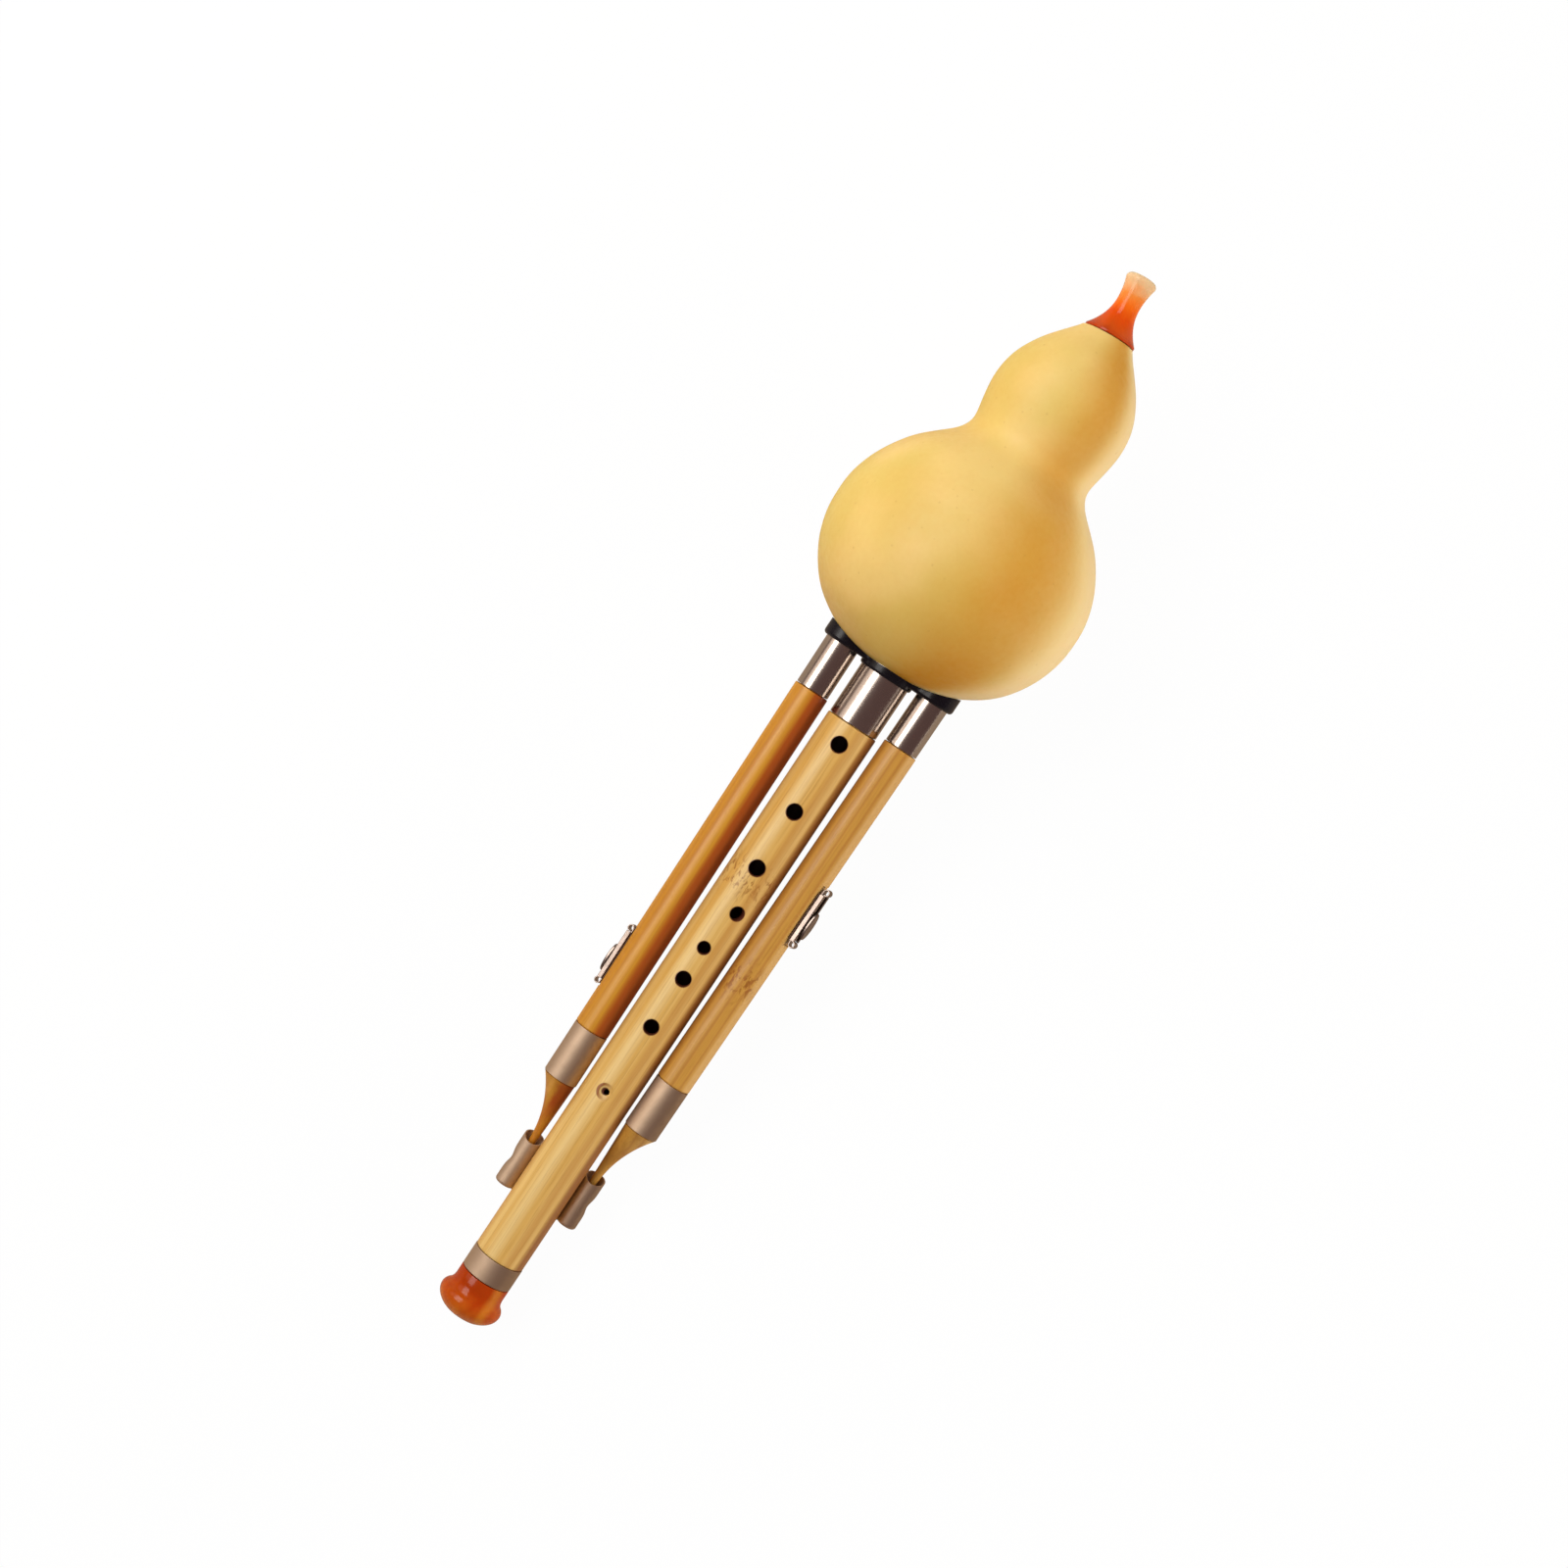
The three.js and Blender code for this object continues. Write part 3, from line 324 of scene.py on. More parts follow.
def outlook(turn, rise):
    """Direction from the instrument, turned to the right of its front and raised to its head."""
    return Vector((math.sin(turn) * math.cos(rise), -math.cos(turn) * math.cos(rise),
                   math.sin(rise)))


# ---------------------------------------------------------------- lines
def mix(a, b, part):
    return a + (b - a) * part


def vectors(*points):
    return [Vector(p) for p in points]


def bezier(a, b, c, steps):
    """Points from the first to the last on a curve that leans to the middle one."""
    a, b, c = vectors(a, b, c)
    spots = [i / steps for i in range(1, steps + 1)]
    return [a * (1 - t) ** 2 + b * (2 * t * (1 - t)) + c * t ** 2 for t in spots]


def arc(centre, radius, start, stop, steps, squash=1.0):
    angles = [math.radians(mix(start, stop, i / steps)) for i in range(steps + 1)]
    return [Vector((centre[0] + radius * math.cos(a), centre[1] + radius * squash * math.sin(a)))
            for a in angles]


def rounded(corners, closed=True, steps=4):
    """Corners of radius, height and fillet as a profile with arcs and a loop beside each arc."""
    most, loop, loop_most = 0.42, 0.5, 0.06
    points = []
    count = len(corners)
    for i, (radius, height, fillet) in enumerate(corners):
        here = Vector((radius, height))
        if fillet <= 0 or (not closed and i in (0, count - 1)):
            points.append(here)
            continue
        before = Vector(corners[i - 1][:2]) - here
        after = Vector(corners[(i + 1) % count][:2]) - here
        half = before.angle(after) / 2
        reach = min(fillet / math.tan(half), before.length * most, after.length * most)
        start = here + before.normalized() * reach
        end = here + after.normalized() * reach
        beside = min(reach * loop, before.length * loop_most)
        points += [start + before.normalized() * beside, start]
        points += bezier(start, here, end, steps)
        points.append(end + after.normalized() * min(reach * loop, after.length * loop_most))
    return points


def curve_through(points, samples):
    """Evenly spaced points on a smooth curve through the given ones."""
    fine = []
    last = len(points) - 1
    per_span = 16
    for i in range(last):
        p0, p1, p2, p3 = (Vector(points[min(max(k, 0), last)]) for k in (i - 1, i, i + 1, i + 2))
        for k in range(per_span):
            t = k / per_span
            fine.append(0.5 * (2 * p1 + (p2 - p0) * t + (2 * p0 - 5 * p1 + 4 * p2 - p3) * t ** 2
                               + (3 * p1 - p0 - 3 * p2 + p3) * t ** 3))
    fine.append(Vector(points[last]))
    return evenly(fine, samples)


def evenly(points, samples, closed=False):
    """The same line with its points at equal distances."""
    line = list(points) + ([points[0]] if closed else [])
    along = [0.0]
    for a, b in zip(line, line[1:]):
        along.append(along[-1] + (b - a).length)
    result = []
    k = 0
    for i in range(samples):
        want = along[-1] * i / (samples if closed else samples - 1)
        while k < len(along) - 2 and along[k + 1] < want:
            k += 1
        part = (want - along[k]) / max(along[k + 1] - along[k], 1e-9)
        result.append(line[k].lerp(line[k + 1], min(max(part, 0), 1)))
    return result


def eased(points, passes, closed=False):
    """The line after each point has moved towards its neighbours, pass by pass."""
    line = list(points)
    for _ in range(passes):
        line = [point if not closed and i in (0, len(line) - 1)
                else (line[i - 1] + 2 * point + line[(i + 1) % len(line)]) / 4
                for i, point in enumerate(line)]
    return line


def inset(line, distance):
    """The closed line moved in."""
    result = []
    for i, point in enumerate(line):
        along = (line[(i + 1) % len(line)] - line[i - 1]).normalized()
        result.append(point - Vector((along.y, -along.x)) * distance)
    return result


# ---------------------------------------------------------------- meshes
@contextmanager
def edited(mesh):
    """The mesh opened for edits and written back."""
    work = bmesh.new()
    work.from_mesh(mesh)
    yield work
    work.to_mesh(mesh)
    work.free()


def mesh_of(verts, faces):
    mesh = bpy.data.meshes.new("shape")
    mesh.from_pydata(verts, [], faces)
    return mesh


def skin(bands, steps):
    """Faces between pairs of rings, a ring of one point being a pole."""
    faces = []
    for low, high in bands:
        for k in range(steps):
            corners = (low[k % len(low)], low[(k + 1) % steps % len(low)],
                       high[(k + 1) % steps % len(high)], high[k % len(high)])
            face = list(dict.fromkeys(corners))
            if len(face) > 2:
                faces.append(face)
    return faces


def lathe(profile, steps, closed=True):
    """Profile turned about Z. A closed one has a bore, an open one starts and ends on the axis."""
    points = [(max(p[0], 0), p[1]) for p in profile]
    pairs = zip(points, points[1:] + points[:1])
    if sum(a[0] * b[1] - b[0] * a[1] for a, b in pairs) < 0:
        points.reverse()
    verts, rings = [], []
    for radius, height in points:
        first = len(verts)
        if radius < 1e-6:
            verts.append((0, 0, height))
            rings.append([first])
            continue
        for k in range(steps):
            angle = TURN * (k + 0.5) / steps
            verts.append((radius * math.cos(angle), radius * math.sin(angle), height))
        rings.append(list(range(first, first + steps)))
    bands = list(zip(rings, rings[1:])) + ([(rings[-1], rings[0])] if closed else [])
    return mesh_of(verts, skin(bands, steps))


def rod(radius, low, high, steps=64):
    return lathe([(0, low), (radius, low), (radius, high), (0, high)], steps, closed=False)


def tube(inner, outer, low, high, fillets, steps):
    corners = ((inner, low), (outer, low), (outer, high), (inner, high))
    return lathe(rounded([(*c, fillet) for c, fillet in zip(corners, fillets)]), steps)


def block(low, high):
    xs, ys, zs = zip(low, high)
    verts = [(x, y, z) for z in zs for y in ys for x in xs]
    faces = [(0, 2, 3, 1), (4, 5, 7, 6), (0, 1, 5, 4), (2, 6, 7, 3), (0, 4, 6, 2), (1, 3, 7, 5)]
    return mesh_of(verts, faces)


def loft(rings, closed=False):
    """Skin over rings of points, joined end to end or capped."""
    count = len(rings[0])
    verts = [tuple(p) for ring in rings for p in ring]
    index = [list(range(i * count, (i + 1) * count)) for i in range(len(rings))]
    bands = list(zip(index, index[1:])) + ([(index[-1], index[0])] if closed else [])
    faces = skin(bands, count)
    if not closed:
        faces += [list(reversed(index[0])), index[-1]]
    return outward(mesh_of(verts, faces))


def outward(mesh):
    """The mesh with its doubles merged and its faces pointing outwards."""
    with edited(mesh) as work:
        bmesh.ops.remove_doubles(work, verts=work.verts, dist=0.0005)
        bmesh.ops.recalc_face_normals(work, faces=work.faces)
    return mesh


def moved(mesh, place):
    mesh.transform(place)
    return mesh


def uneven(mesh, least, depth, across, seed=0):
    """A pipe whose skin, further out than a radius, sinks in long waves as bamboo does."""
    along = 0.02
    for vertex in mesh.vertices:
        flat = vertex.co.xy
        if flat.length > least:
            spot = Vector((flat.x * across, flat.y * across, vertex.co.z * along + seed))
            vertex.co.xy = flat * (1 + depth * (noise.noise(spot) - 1) / flat.length)
    return mesh


def together(*meshes):
    """Meshes that stay apart from each other, in one mesh."""
    result = bpy.data.meshes.new("shape")
    with edited(result) as work:
        for mesh in meshes:
            work.from_mesh(mesh)
    return result


def placed(name, data):
    """An object of this data in the scene."""
    holder = bpy.data.objects.new(name, data)
    bpy.context.scene.collection.objects.link(holder)
    return holder


def plain_mesh(holder):
    """The evaluated mesh of an object that is then deleted."""
    ready = holder.evaluated_get(bpy.context.evaluated_depsgraph_get())
    result = bpy.data.meshes.new_from_object(ready)
    bpy.data.objects.remove(holder)
    return result


def worked(mesh, tools, operation="DIFFERENCE"):
    """The mesh after each tool has been cut out of it or joined to it."""
    holder = placed("holder", mesh)
    others = [placed("holder", tool) for tool in tools]
    for other in others:
        modifier = holder.modifiers.new("work", "BOOLEAN")
        modifier.operation = operation
        modifier.solver = "EXACT"
        modifier.object = other
    result = plain_mesh(holder)
    for other in others:
        bpy.data.objects.remove(other)
    with edited(result) as work:
        bmesh.ops.dissolve_degenerate(work, dist=0.0005, edges=work.edges)
    return result


def grown(name, inputs, build, material):
    """Plain mesh of a node tree whose named inputs hold its sizes."""
    tree = bpy.data.node_groups.new(name, "GeometryNodeTree")
    tree.interface.new_socket("Geometry", in_out="OUTPUT", socket_type="NodeSocketGeometry")
    values = {}
    for label, value in inputs.items():
        socket = tree.interface.new_socket(label, in_out="INPUT", socket_type="NodeSocketFloat")
        values[socket.identifier] = value
    entry = add(tree, "NodeGroupInput")
    real = add(tree, "GeometryNodeRealizeInstances", Geometry=build(tree, entry.outputs))
    painted = add(tree, "GeometryNodeSetMaterial", Geometry=real, Material=material)
    add(tree, "NodeGroupOutput", painted)
    holder = placed(name, bpy.data.meshes.new(name))
    modifier = holder.modifiers.new(name, "NODES")
    modifier.node_group = tree
    for identifier, value in values.items():
        modifier[identifier] = value
    return plain_mesh(holder)


def settle(node, mesh, body, material, place=Matrix(), sharp=40):
    """Keeps each point's upright place, lays the mesh down and gives it to its body."""
    name = node + "_look"
    spots = mesh.attributes.new(PLACE_ATTRIBUTE, "FLOAT_VECTOR", "POINT")
    flat = [0.0] * (3 * len(mesh.vertices))
    mesh.vertices.foreach_get("co", flat)
    spots.data.foreach_set("vector", flat)
    mesh.transform(UPRIGHT @ place)
    mesh.materials.clear()
    mesh.materials.append(material)
    mesh.polygons.foreach_set("material_index", [0] * len(mesh.polygons))
    mesh.polygons.foreach_set("use_smooth", [True] * len(mesh.polygons))
    mesh.set_sharp_from_angle(angle=math.radians(sharp))
    mesh.name = name
    piece = placed(name, mesh)
    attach(piece, body)
    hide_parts(node)


def dress_node(node, material):
    """A hidden CAD node keeps its shape and gets its finish."""
    mesh = frame["nodes"][node].data
    mesh.materials.clear()
    mesh.materials.append(material)


# ---------------------------------------------------------------- finishes
def emptied(holder):
    """The node tree of a new material or world, with nothing in it."""
    holder.use_nodes = True
    holder.node_tree.nodes.clear()
    return holder.node_tree


def finish_start(name):
    """A material, its tree, each point's upright place in millimetres, and that place's axes."""
    material = bpy.data.materials.new(name)
    tree = emptied(material)
    spot = add(tree, "ShaderNodeAttribute", attribute_name=PLACE_ATTRIBUTE).outputs["Vector"]
    return material, tree, spot, add(tree, "ShaderNodeSeparateXYZ", spot).outputs


def finish_end(material, **inputs):
    """The material once its patterns and its constants are on a shader."""
    tree = material.node_tree
    shader = add(tree, "ShaderNodeBsdfPrincipled", **inputs)
    add(tree, "ShaderNodeOutputMaterial", shader)
    return material


def gourd_finish():
    """Dried bottle gourd, scraped and waxed: straw yellow with deeper patches, a few small pores
    and a soft sheen that breaks up over shallow tool marks, with painted shade and a painted rim light on its
    right side."""
    gourd = sizes("gourd")
    material, tree, spot, (x, y, z) = finish_start("waxed_gourd_skin")
    # Patches of 25 to 60 mm, mottling of 2 mm, pores of about 0.4 mm drawn at 0.8 mm to show
    patch = add(tree, "ShaderNodeTexNoise", Vector=spot, Scale=0.022, Detail=2, Roughness=0.5)
    mottle = add(tree, "ShaderNodeTexNoise", Vector=spot, Scale=0.5, Detail=3, Roughness=0.55)
    cells = add(tree, "ShaderNodeTexVoronoi", Vector=spot, Scale=0.22, Randomness=1, feature="F1")
    dots = add(tree, "ShaderNodeMapRange", cells.outputs["Distance"], 0.05, 0.12, 0.4, 0)
    pores = add(tree, "ShaderNodeMath", dots, mottle, operation="MULTIPLY")
    # Painted shade: the skin turns a deeper orange from the front round to its right side, where the shade falls,
    # and less so at the far right
    front = add(tree, "ShaderNodeMath", y, -1, operation="MULTIPLY")
    turn = add(tree, "ShaderNodeMath", x, front, operation="ARCTAN2")
    painted_shade_side, painted_rim_lift, painted_rim_light = [
        add(tree, "ShaderNodeMapRange", turn, *limits, interpolation_type=SMOOTH)
        for limits in ((-0.25, 0.5, 0, 0.7), (0.6, 1.2, 0, 0.75), (0.75, 1.3, 0, 0.6))]
    painted_shade_and_tone = add(tree, "ShaderNodeMath", painted_shade_side, painted_rim_lift, operation="SUBTRACT")
    # Painted shade: a deeper orange towards the gourd's bottom
    low = add(tree, "ShaderNodeMapRange", z, GOURD_BOTTOM, GOURD_BOTTOM + 36, 0.26, 0,
              interpolation_type=SMOOTH)
    drift = add(tree, "ShaderNodeMapRange", patch, 0.3, 0.7, -0.1, 0.2)
    fine = add(tree, "ShaderNodeMath", mottle, 0.16, -0.08, operation="MULTIPLY_ADD")
    for more, held in ((low, False), (drift, False), (fine, True)):
        painted_shade_and_tone = add(tree, "ShaderNodeMath", painted_shade_and_tone, more, operation="ADD", use_clamp=held)
    # Where the rind was a little thicker it dried greener, and the far right flank is painted cream, a painted rim
    # light
    drawn = add(tree, "ShaderNodeSeparateColor", patch.outputs["Color"])
    green = add(tree, "ShaderNodeMapRange", drawn.outputs["Green"], 0.42, 0.62, 0, 0.6,
                interpolation_type=SMOOTH)
    colour = gourd.skin
    for mask, paint in ((green, gourd.olive), (painted_shade_and_tone, gourd.blush_and_shade), (painted_rim_light, gourd.cream),
                        (pores, gourd.pore)):
        colour = add(tree, "ShaderNodeMix", mask, colour, paint, data_type="RGBA")
    gloss = add(tree, "ShaderNodeMapRange", mottle, 0.3, 0.7, 0.42, 0.56)
    bump = add(tree, "ShaderNodeBump", Height=mottle, Distance=0.00006, Strength=0.3)
    return finish_end(material, Base_Color=colour, Roughness=gloss, Normal=bump, IOR=1.4,
                      Subsurface_Weight=0.1, Subsurface_Scale=0.002)


def bamboo_finish(name, pale, deep, scar, node_height, node_reach, painted_streaks, burnt=None):
    """Lacquered bamboo: straight fibres of about 0.3 mm, broad bands of tone along the culm,
    streaks that follow the fibres, a scarred node and a thin gloss over it, and painted shade and painted
    highlights in streaks down its sides."""
    material, tree, spot, axes = finish_start(name)
    # Fibres are 0.3 mm wide and tens of millimetres long, bands are 3 to 6 mm wide
    long_way = add(tree, "ShaderNodeMapping", Vector=spot, Scale=(1, 1, 0.018))
    fibre = add(tree, "ShaderNodeTexNoise", Vector=long_way, Scale=2.2, Detail=5, Roughness=0.7)
    band = add(tree, "ShaderNodeTexNoise", Vector=long_way, Scale=0.24, Detail=2, Roughness=0.5)
    toned = add(tree, "ShaderNodeMapRange", band, 0.36, 0.66, 0, 1)
    dark = add(tree, "ShaderNodeMapRange", fibre, 0.5, 0.72, 0, 0.42)
    # Flecks of scar, 1 to 2 mm wide, thin out as a bell curve on both sides of the culm's node
    away = add(tree, "ShaderNodeMath", axes[2], node_height, operation="SUBTRACT")
    shared = add(tree, "ShaderNodeMath", away, node_reach, operation="DIVIDE")
    squared = add(tree, "ShaderNodeMath", shared, 2, operation="POWER")
    near = add(tree, "ShaderNodeMath", 2.718, squared, operation="POWER")
    close = add(tree, "ShaderNodeMath", 1, near, operation="DIVIDE")
    short_way = add(tree, "ShaderNodeMapping", Vector=spot, Scale=(1, 1, 0.45))
    flecks = add(tree, "ShaderNodeTexNoise", Vector=short_way, Scale=0.75, Detail=3,
                 Roughness=0.6, Distortion=0.8)
    marked = add(tree, "ShaderNodeMapRange", flecks, 0.5, 0.62, 0, 0.95)
    scars = add(tree, "ShaderNodeMath", marked, close, operation="MULTIPLY")
    colour = pale
    for mask, paint in ((toned, deep), (dark, scar), (scars, scar)):
        colour = add(tree, "ShaderNodeMix", mask, colour, paint, data_type="RGBA")
    # Painted shade and painted highlights in streaks down the pipe's sides
    colour = with_painted_light(tree, axes, band, 1.6, colour, painted_streaks)
    if burnt:
        colour = burnt(tree, spot, axes, colour)
    gloss = add(tree, "ShaderNodeMapRange", fibre, 0.3, 0.7, 0.36, 0.5)
    bump = add(tree, "ShaderNodeBump", Height=fibre, Distance=0.00008, Strength=0.35)
    return finish_end(material, Base_Color=colour, Roughness=gloss, Normal=bump, IOR=1.45,
                      Coat_Weight=0.1, Coat_Roughness=0.2)


def with_painted_light(tree, axes, pattern, sway, colour, painted_streaks):
    """Painted light: the colour with streaks of painted shade and painted highlight along the piece, each from a
    low to a high X in millimetres.
    """
    # Painted light is strongest on the front, fading to a quarter at the back
    facing = add(tree, "ShaderNodeMapRange", axes[1], -1, 2, 1, 0.25)
    waver = add(tree, "ShaderNodeMath", pattern, sway, axes[0], operation="MULTIPLY_ADD")
    for low, high, soft, strength, code in painted_streaks:
        mask = add(tree, "ShaderNodeMapRange", waver, low - soft, low + soft, 0, strength,
                   interpolation_type=SMOOTH)
        fall = add(tree, "ShaderNodeMapRange", waver, high - soft, high + soft, 1, 0,
                   interpolation_type=SMOOTH)
        for more in (fall, facing):
            mask = add(tree, "ShaderNodeMath", mask, more, operation="MULTIPLY")
        colour = add(tree, "ShaderNodeMix", mask, colour, linear(code), data_type="RGBA")
    return colour


def burnt_holes(tree, spot, axes, colour):
    """Walls of the melody pipe's holes, burnt through with a hot iron, and the pale vent sink
    with painted shade along its edge."""
    melody = sizes("melody")
    across = add(tree, "ShaderNodeCombineXYZ", axes[0], axes[1])
    out = add(tree, "ShaderNodeVectorMath", across, operation="LENGTH")
    taper = (melody.foot - melody.head) / SPAN
    level = add(tree, "ShaderNodeMath", axes[2], taper, out, operation="MULTIPLY_ADD")
    skin_level = melody.foot + taper * PIPE_FOOT
    charred = add(tree, "ShaderNodeMapRange", level, skin_level - 0.42, skin_level - 0.14, 1, 0)
    share, bore, turned = VENT
    apart = add(tree, "ShaderNodeVectorMath", spot, hole_spot(share, turned),
                operation="SUBTRACT")
    flat = add(tree, "ShaderNodeVectorMath", apart, (1, 0, 1), operation="MULTIPLY")
    ring = add(tree, "ShaderNodeVectorMath", flat, operation="LENGTH")
    front = add(tree, "ShaderNodeMapRange", axes[1], -6.5, -6, 1, 0)
    spared = add(tree, "ShaderNodeMapRange", ring, VENT_SINK + 0.3, VENT_SINK + 0.8, 1, 0)
    small = add(tree, "ShaderNodeMapRange", ring, bore / 2 + 0.02, bore / 2 + 0.5, 0, 1)
    for more in (small, front):
        spared = add(tree, "ShaderNodeMath", spared, more, operation="MULTIPLY")
    left_over = add(tree, "ShaderNodeMath", 1, spared, operation="SUBTRACT")
    # The turned spigot above the pipe's shoulder lies deeper than the skin, but isn't burnt
    shoulder = add(tree, "ShaderNodeMapRange", axes[2], PIPE_HEAD - 0.8, PIPE_HEAD - 0.4, 1, 0)
    for more in (left_over, shoulder):
        charred = add(tree, "ShaderNodeMath", charred, more, operation="MULTIPLY")
    # The iron also scorched a rim of about 0.3 mm round each hole
    nearest = None
    for share, diameter, turned in FINGER_HOLES:
        away = add(tree, "ShaderNodeVectorMath", spot, hole_spot(share, turned),
                   operation="DISTANCE")
        beyond = add(tree, "ShaderNodeMath", away, diameter / 2, operation="SUBTRACT")
        nearest = (add(tree, "ShaderNodeMath", beyond, nearest, operation="MINIMUM")
                   if nearest else beyond)
    scorched = add(tree, "ShaderNodeMapRange", nearest, 0.1, 0.45, 1, 0)
    charred = add(tree, "ShaderNodeMath", charred, scorched, operation="MAXIMUM")
    # Painted shade: the vent's sink is darker brown along its edge, most on its left
    sides = add(tree, "ShaderNodeSeparateXYZ", apart)
    painted_sink_shade = add(tree, "ShaderNodeMapRange", ring, VENT_SINK - 1.3, VENT_SINK - 0.6, 0, 1)
    left = add(tree, "ShaderNodeMapRange", sides, -1.8, 1.4, 0.95, 0.1)
    end = add(tree, "ShaderNodeMapRange", ring, VENT_SINK, VENT_SINK + 0.25, 1, 0)
    for more in (left, end, front):
        painted_sink_shade = add(tree, "ShaderNodeMath", painted_sink_shade, more, operation="MULTIPLY")
    for mask, paint in ((painted_sink_shade, linear("8A4A18")), (charred, melody.burn)):
        colour = add(tree, "ShaderNodeMix", mask, colour, paint, data_type="RGBA")
    return colour


def resin_finish(name, stops, height, swirl, painted_streaks=()):
    """Cast polyester resin, polished: the colour changes along the piece with the pour, small
    veils of pigment hang in it, and it is smooth enough to show the lamps as clear highlights."""
    material, tree, spot, axes = finish_start(name)
    # Veils of about 7 mm, and wear of about 3 mm
    veil = add(tree, "ShaderNodeTexNoise", Vector=spot, Scale=0.14, Detail=1.5, Roughness=0.5,
               Distortion=0.5)
    wear = add(tree, "ShaderNodeTexNoise", Vector=spot, Scale=0.3, Detail=2)
    drift = add(tree, "ShaderNodeMapRange", veil, 0.3, 0.7, -swirl, swirl)
    level = add(tree, "ShaderNodeMath", axes[2], drift, operation="ADD")
    part = add(tree, "ShaderNodeMath", level, height, operation="DIVIDE")
    colour = add(tree, "ShaderNodeValToRGB", part, stops=stops)
    # Painted highlights in streaks, where a piece is given them
    colour = with_painted_light(tree, axes, veil, 2, colour, painted_streaks)
    gloss = add(tree, "ShaderNodeMapRange", wear, 0.35, 0.7, 0.13, 0.17)
    return finish_end(material, Base_Color=colour, Roughness=gloss, IOR=1.45,
                      Specular_IOR_Level=0.27, Subsurface_Weight=0.05, Subsurface_Scale=0.001)


# Group and property of the tint, least and most roughness, squeeze of the lines, bump strength
NICKEL = {
    "polished": ("base", "nickel", 0.22, 0.235, (0.03, 0.03, 1), 0.003),
    "handled": ("key", "nickel", 0.3, 0.4, (1, 1, 0.2), 0.05),
    "satin": ("bell", "satin", 0.58, 0.66, (1, 1, 0.12), 0.1),
}


def nickel_finish(work):
    """Nickel plate on brass, polished, handled or satin: fine lines round the tube that widen
    the highlights, and faint smudges."""
    name = work + "_nickel_plate"
    if name in bpy.data.materials:
        return bpy.data.materials[name]
    group, tinted, low, high, brushed, depth = NICKEL[work]
    bright = getattr(sizes(group), tinted)
    material, tree, spot, _ = finish_start(name)
    # Polishing lines of a few hundredths of a millimetre are drawn at about 0.3 mm to show
    squeezed = add(tree, "ShaderNodeMapping", Vector=spot, Scale=brushed)
    lines = add(tree, "ShaderNodeTexNoise", Vector=squeezed, Scale=3, Detail=4, Roughness=0.6)
    smudge = add(tree, "ShaderNodeTexNoise", Vector=spot, Scale=0.25, Detail=3)
    both = add(tree, "ShaderNodeMath", lines, smudge, operation="ADD")
    gloss = add(tree, "ShaderNodeMapRange", both, 0.7, 1.3, low, high)
    colour = add(tree, "ShaderNodeMix", smudge, bright, shade(bright, 0.86), data_type="RGBA")
    bump = add(tree, "ShaderNodeBump", Height=lines, Distance=0.00002, Strength=depth)
    return finish_end(material, Base_Color=colour, Roughness=gloss, Normal=bump, Metallic=1)


def grain_finish(name, bright, darkness, scale, low, high, metallic=0, stretch=(1, 1, 1)):
    """Small fittings that are mostly hidden: two close tones and a matching break of the gloss,
    at the grain of the stuff."""
    material, tree, _, _ = finish_start(name)
    held = add(tree, "ShaderNodeTexCoord").outputs["Object"]
    # These nodes keep their CAD mesh, so the pattern is on Object coordinates, in metres
    spread = add(tree, "ShaderNodeMapping", Vector=held, Scale=[s / MM for s in stretch])
    grain = add(tree, "ShaderNodeTexNoise", Vector=spread, Scale=scale, Detail=4, Roughness=0.6)
    colour = add(tree, "ShaderNodeMix", grain, bright, shade(bright, darkness), data_type="RGBA")
    gloss = add(tree, "ShaderNodeMapRange", grain, 0.3, 0.7, low, high)
    bump = add(tree, "ShaderNodeBump", Height=grain, Distance=0.00005, Strength=0.4)
    return finish_end(material, Base_Color=colour, Roughness=gloss, Normal=bump,
                      Metallic=metallic)


def plastic_finish():
    """Moulded black plastic, a little worn: dark violet black with a fine mould texture."""
    black = sizes("base").black
    material, tree, spot, _ = finish_start("moulded_black_plastic")
    # Mould texture of about 0.6 mm
    texture = add(tree, "ShaderNodeTexNoise", Vector=spot, Scale=1.6, Detail=4)
    worn = shade(black, 1.5, 0.001)
    colour = add(tree, "ShaderNodeMix", texture, black, worn, data_type="RGBA")
    gloss = add(tree, "ShaderNodeMapRange", texture, 0.3, 0.7, 0.24, 0.34)
    bump = add(tree, "ShaderNodeBump", Height=texture, Distance=0.00003, Strength=0.3)
    return finish_end(material, Base_Color=colour, Roughness=gloss, Normal=bump, IOR=1.5,
                      Specular_IOR_Level=0.28)


# ---------------------------------------------------------------- gourd
GOURD_RADIUS_SHARES = [
    0, 0.38, 0.605, 0.776, 0.915, 0.985, 1, 0.988, 0.918, 0.786, 0.651,
    0.536, 0.481, 0.496, 0.519, 0.528, 0.499, 0.412, 0.307, 0.218, 0.188,
]
GOURD_HEIGHT_SHARES = [
    0, 0.02, 0.056, 0.105, 0.178, 0.251, 0.312, 0.373, 0.446, 0.52, 0.568,
    0.605, 0.641, 0.678, 0.727, 0.776, 0.837, 0.898, 0.946, 0.983, 1,
]


def gourd_line(offset, samples):
    """Outer line of the gourd from its bottom to its neck, moved out or in."""
    gourd = sizes("gourd")
    points = [(r * gourd.radius, GOURD_BOTTOM + h * gourd.height)
              for r, h in zip(GOURD_RADIUS_SHARES, GOURD_HEIGHT_SHARES)]
    line = eased(curve_through(points, 160), 6)
    widest = max(p.x for p in line)
    line = [Vector((p.x * gourd.radius / widest, p.y)) for p in line]
    shifted = []
    for i, point in enumerate(line):
        along = (line[min(i + 1, len(line) - 1)] - line[max(i - 1, 0)]).normalized()
        shifted.append(point + Vector((along.y, -along.x)) * offset)
    shifted[0].x = 0
    line = evenly(shifted, samples)
    line.append(Vector((0, line[-1].y)))
    return line


def gourd_solid(offset, samples, steps):
    shape = lathe(gourd_line(offset, samples), steps, closed=False)
    return moved(shape, Matrix.Translation((-sizes("gourd").shift, 0, 0)))


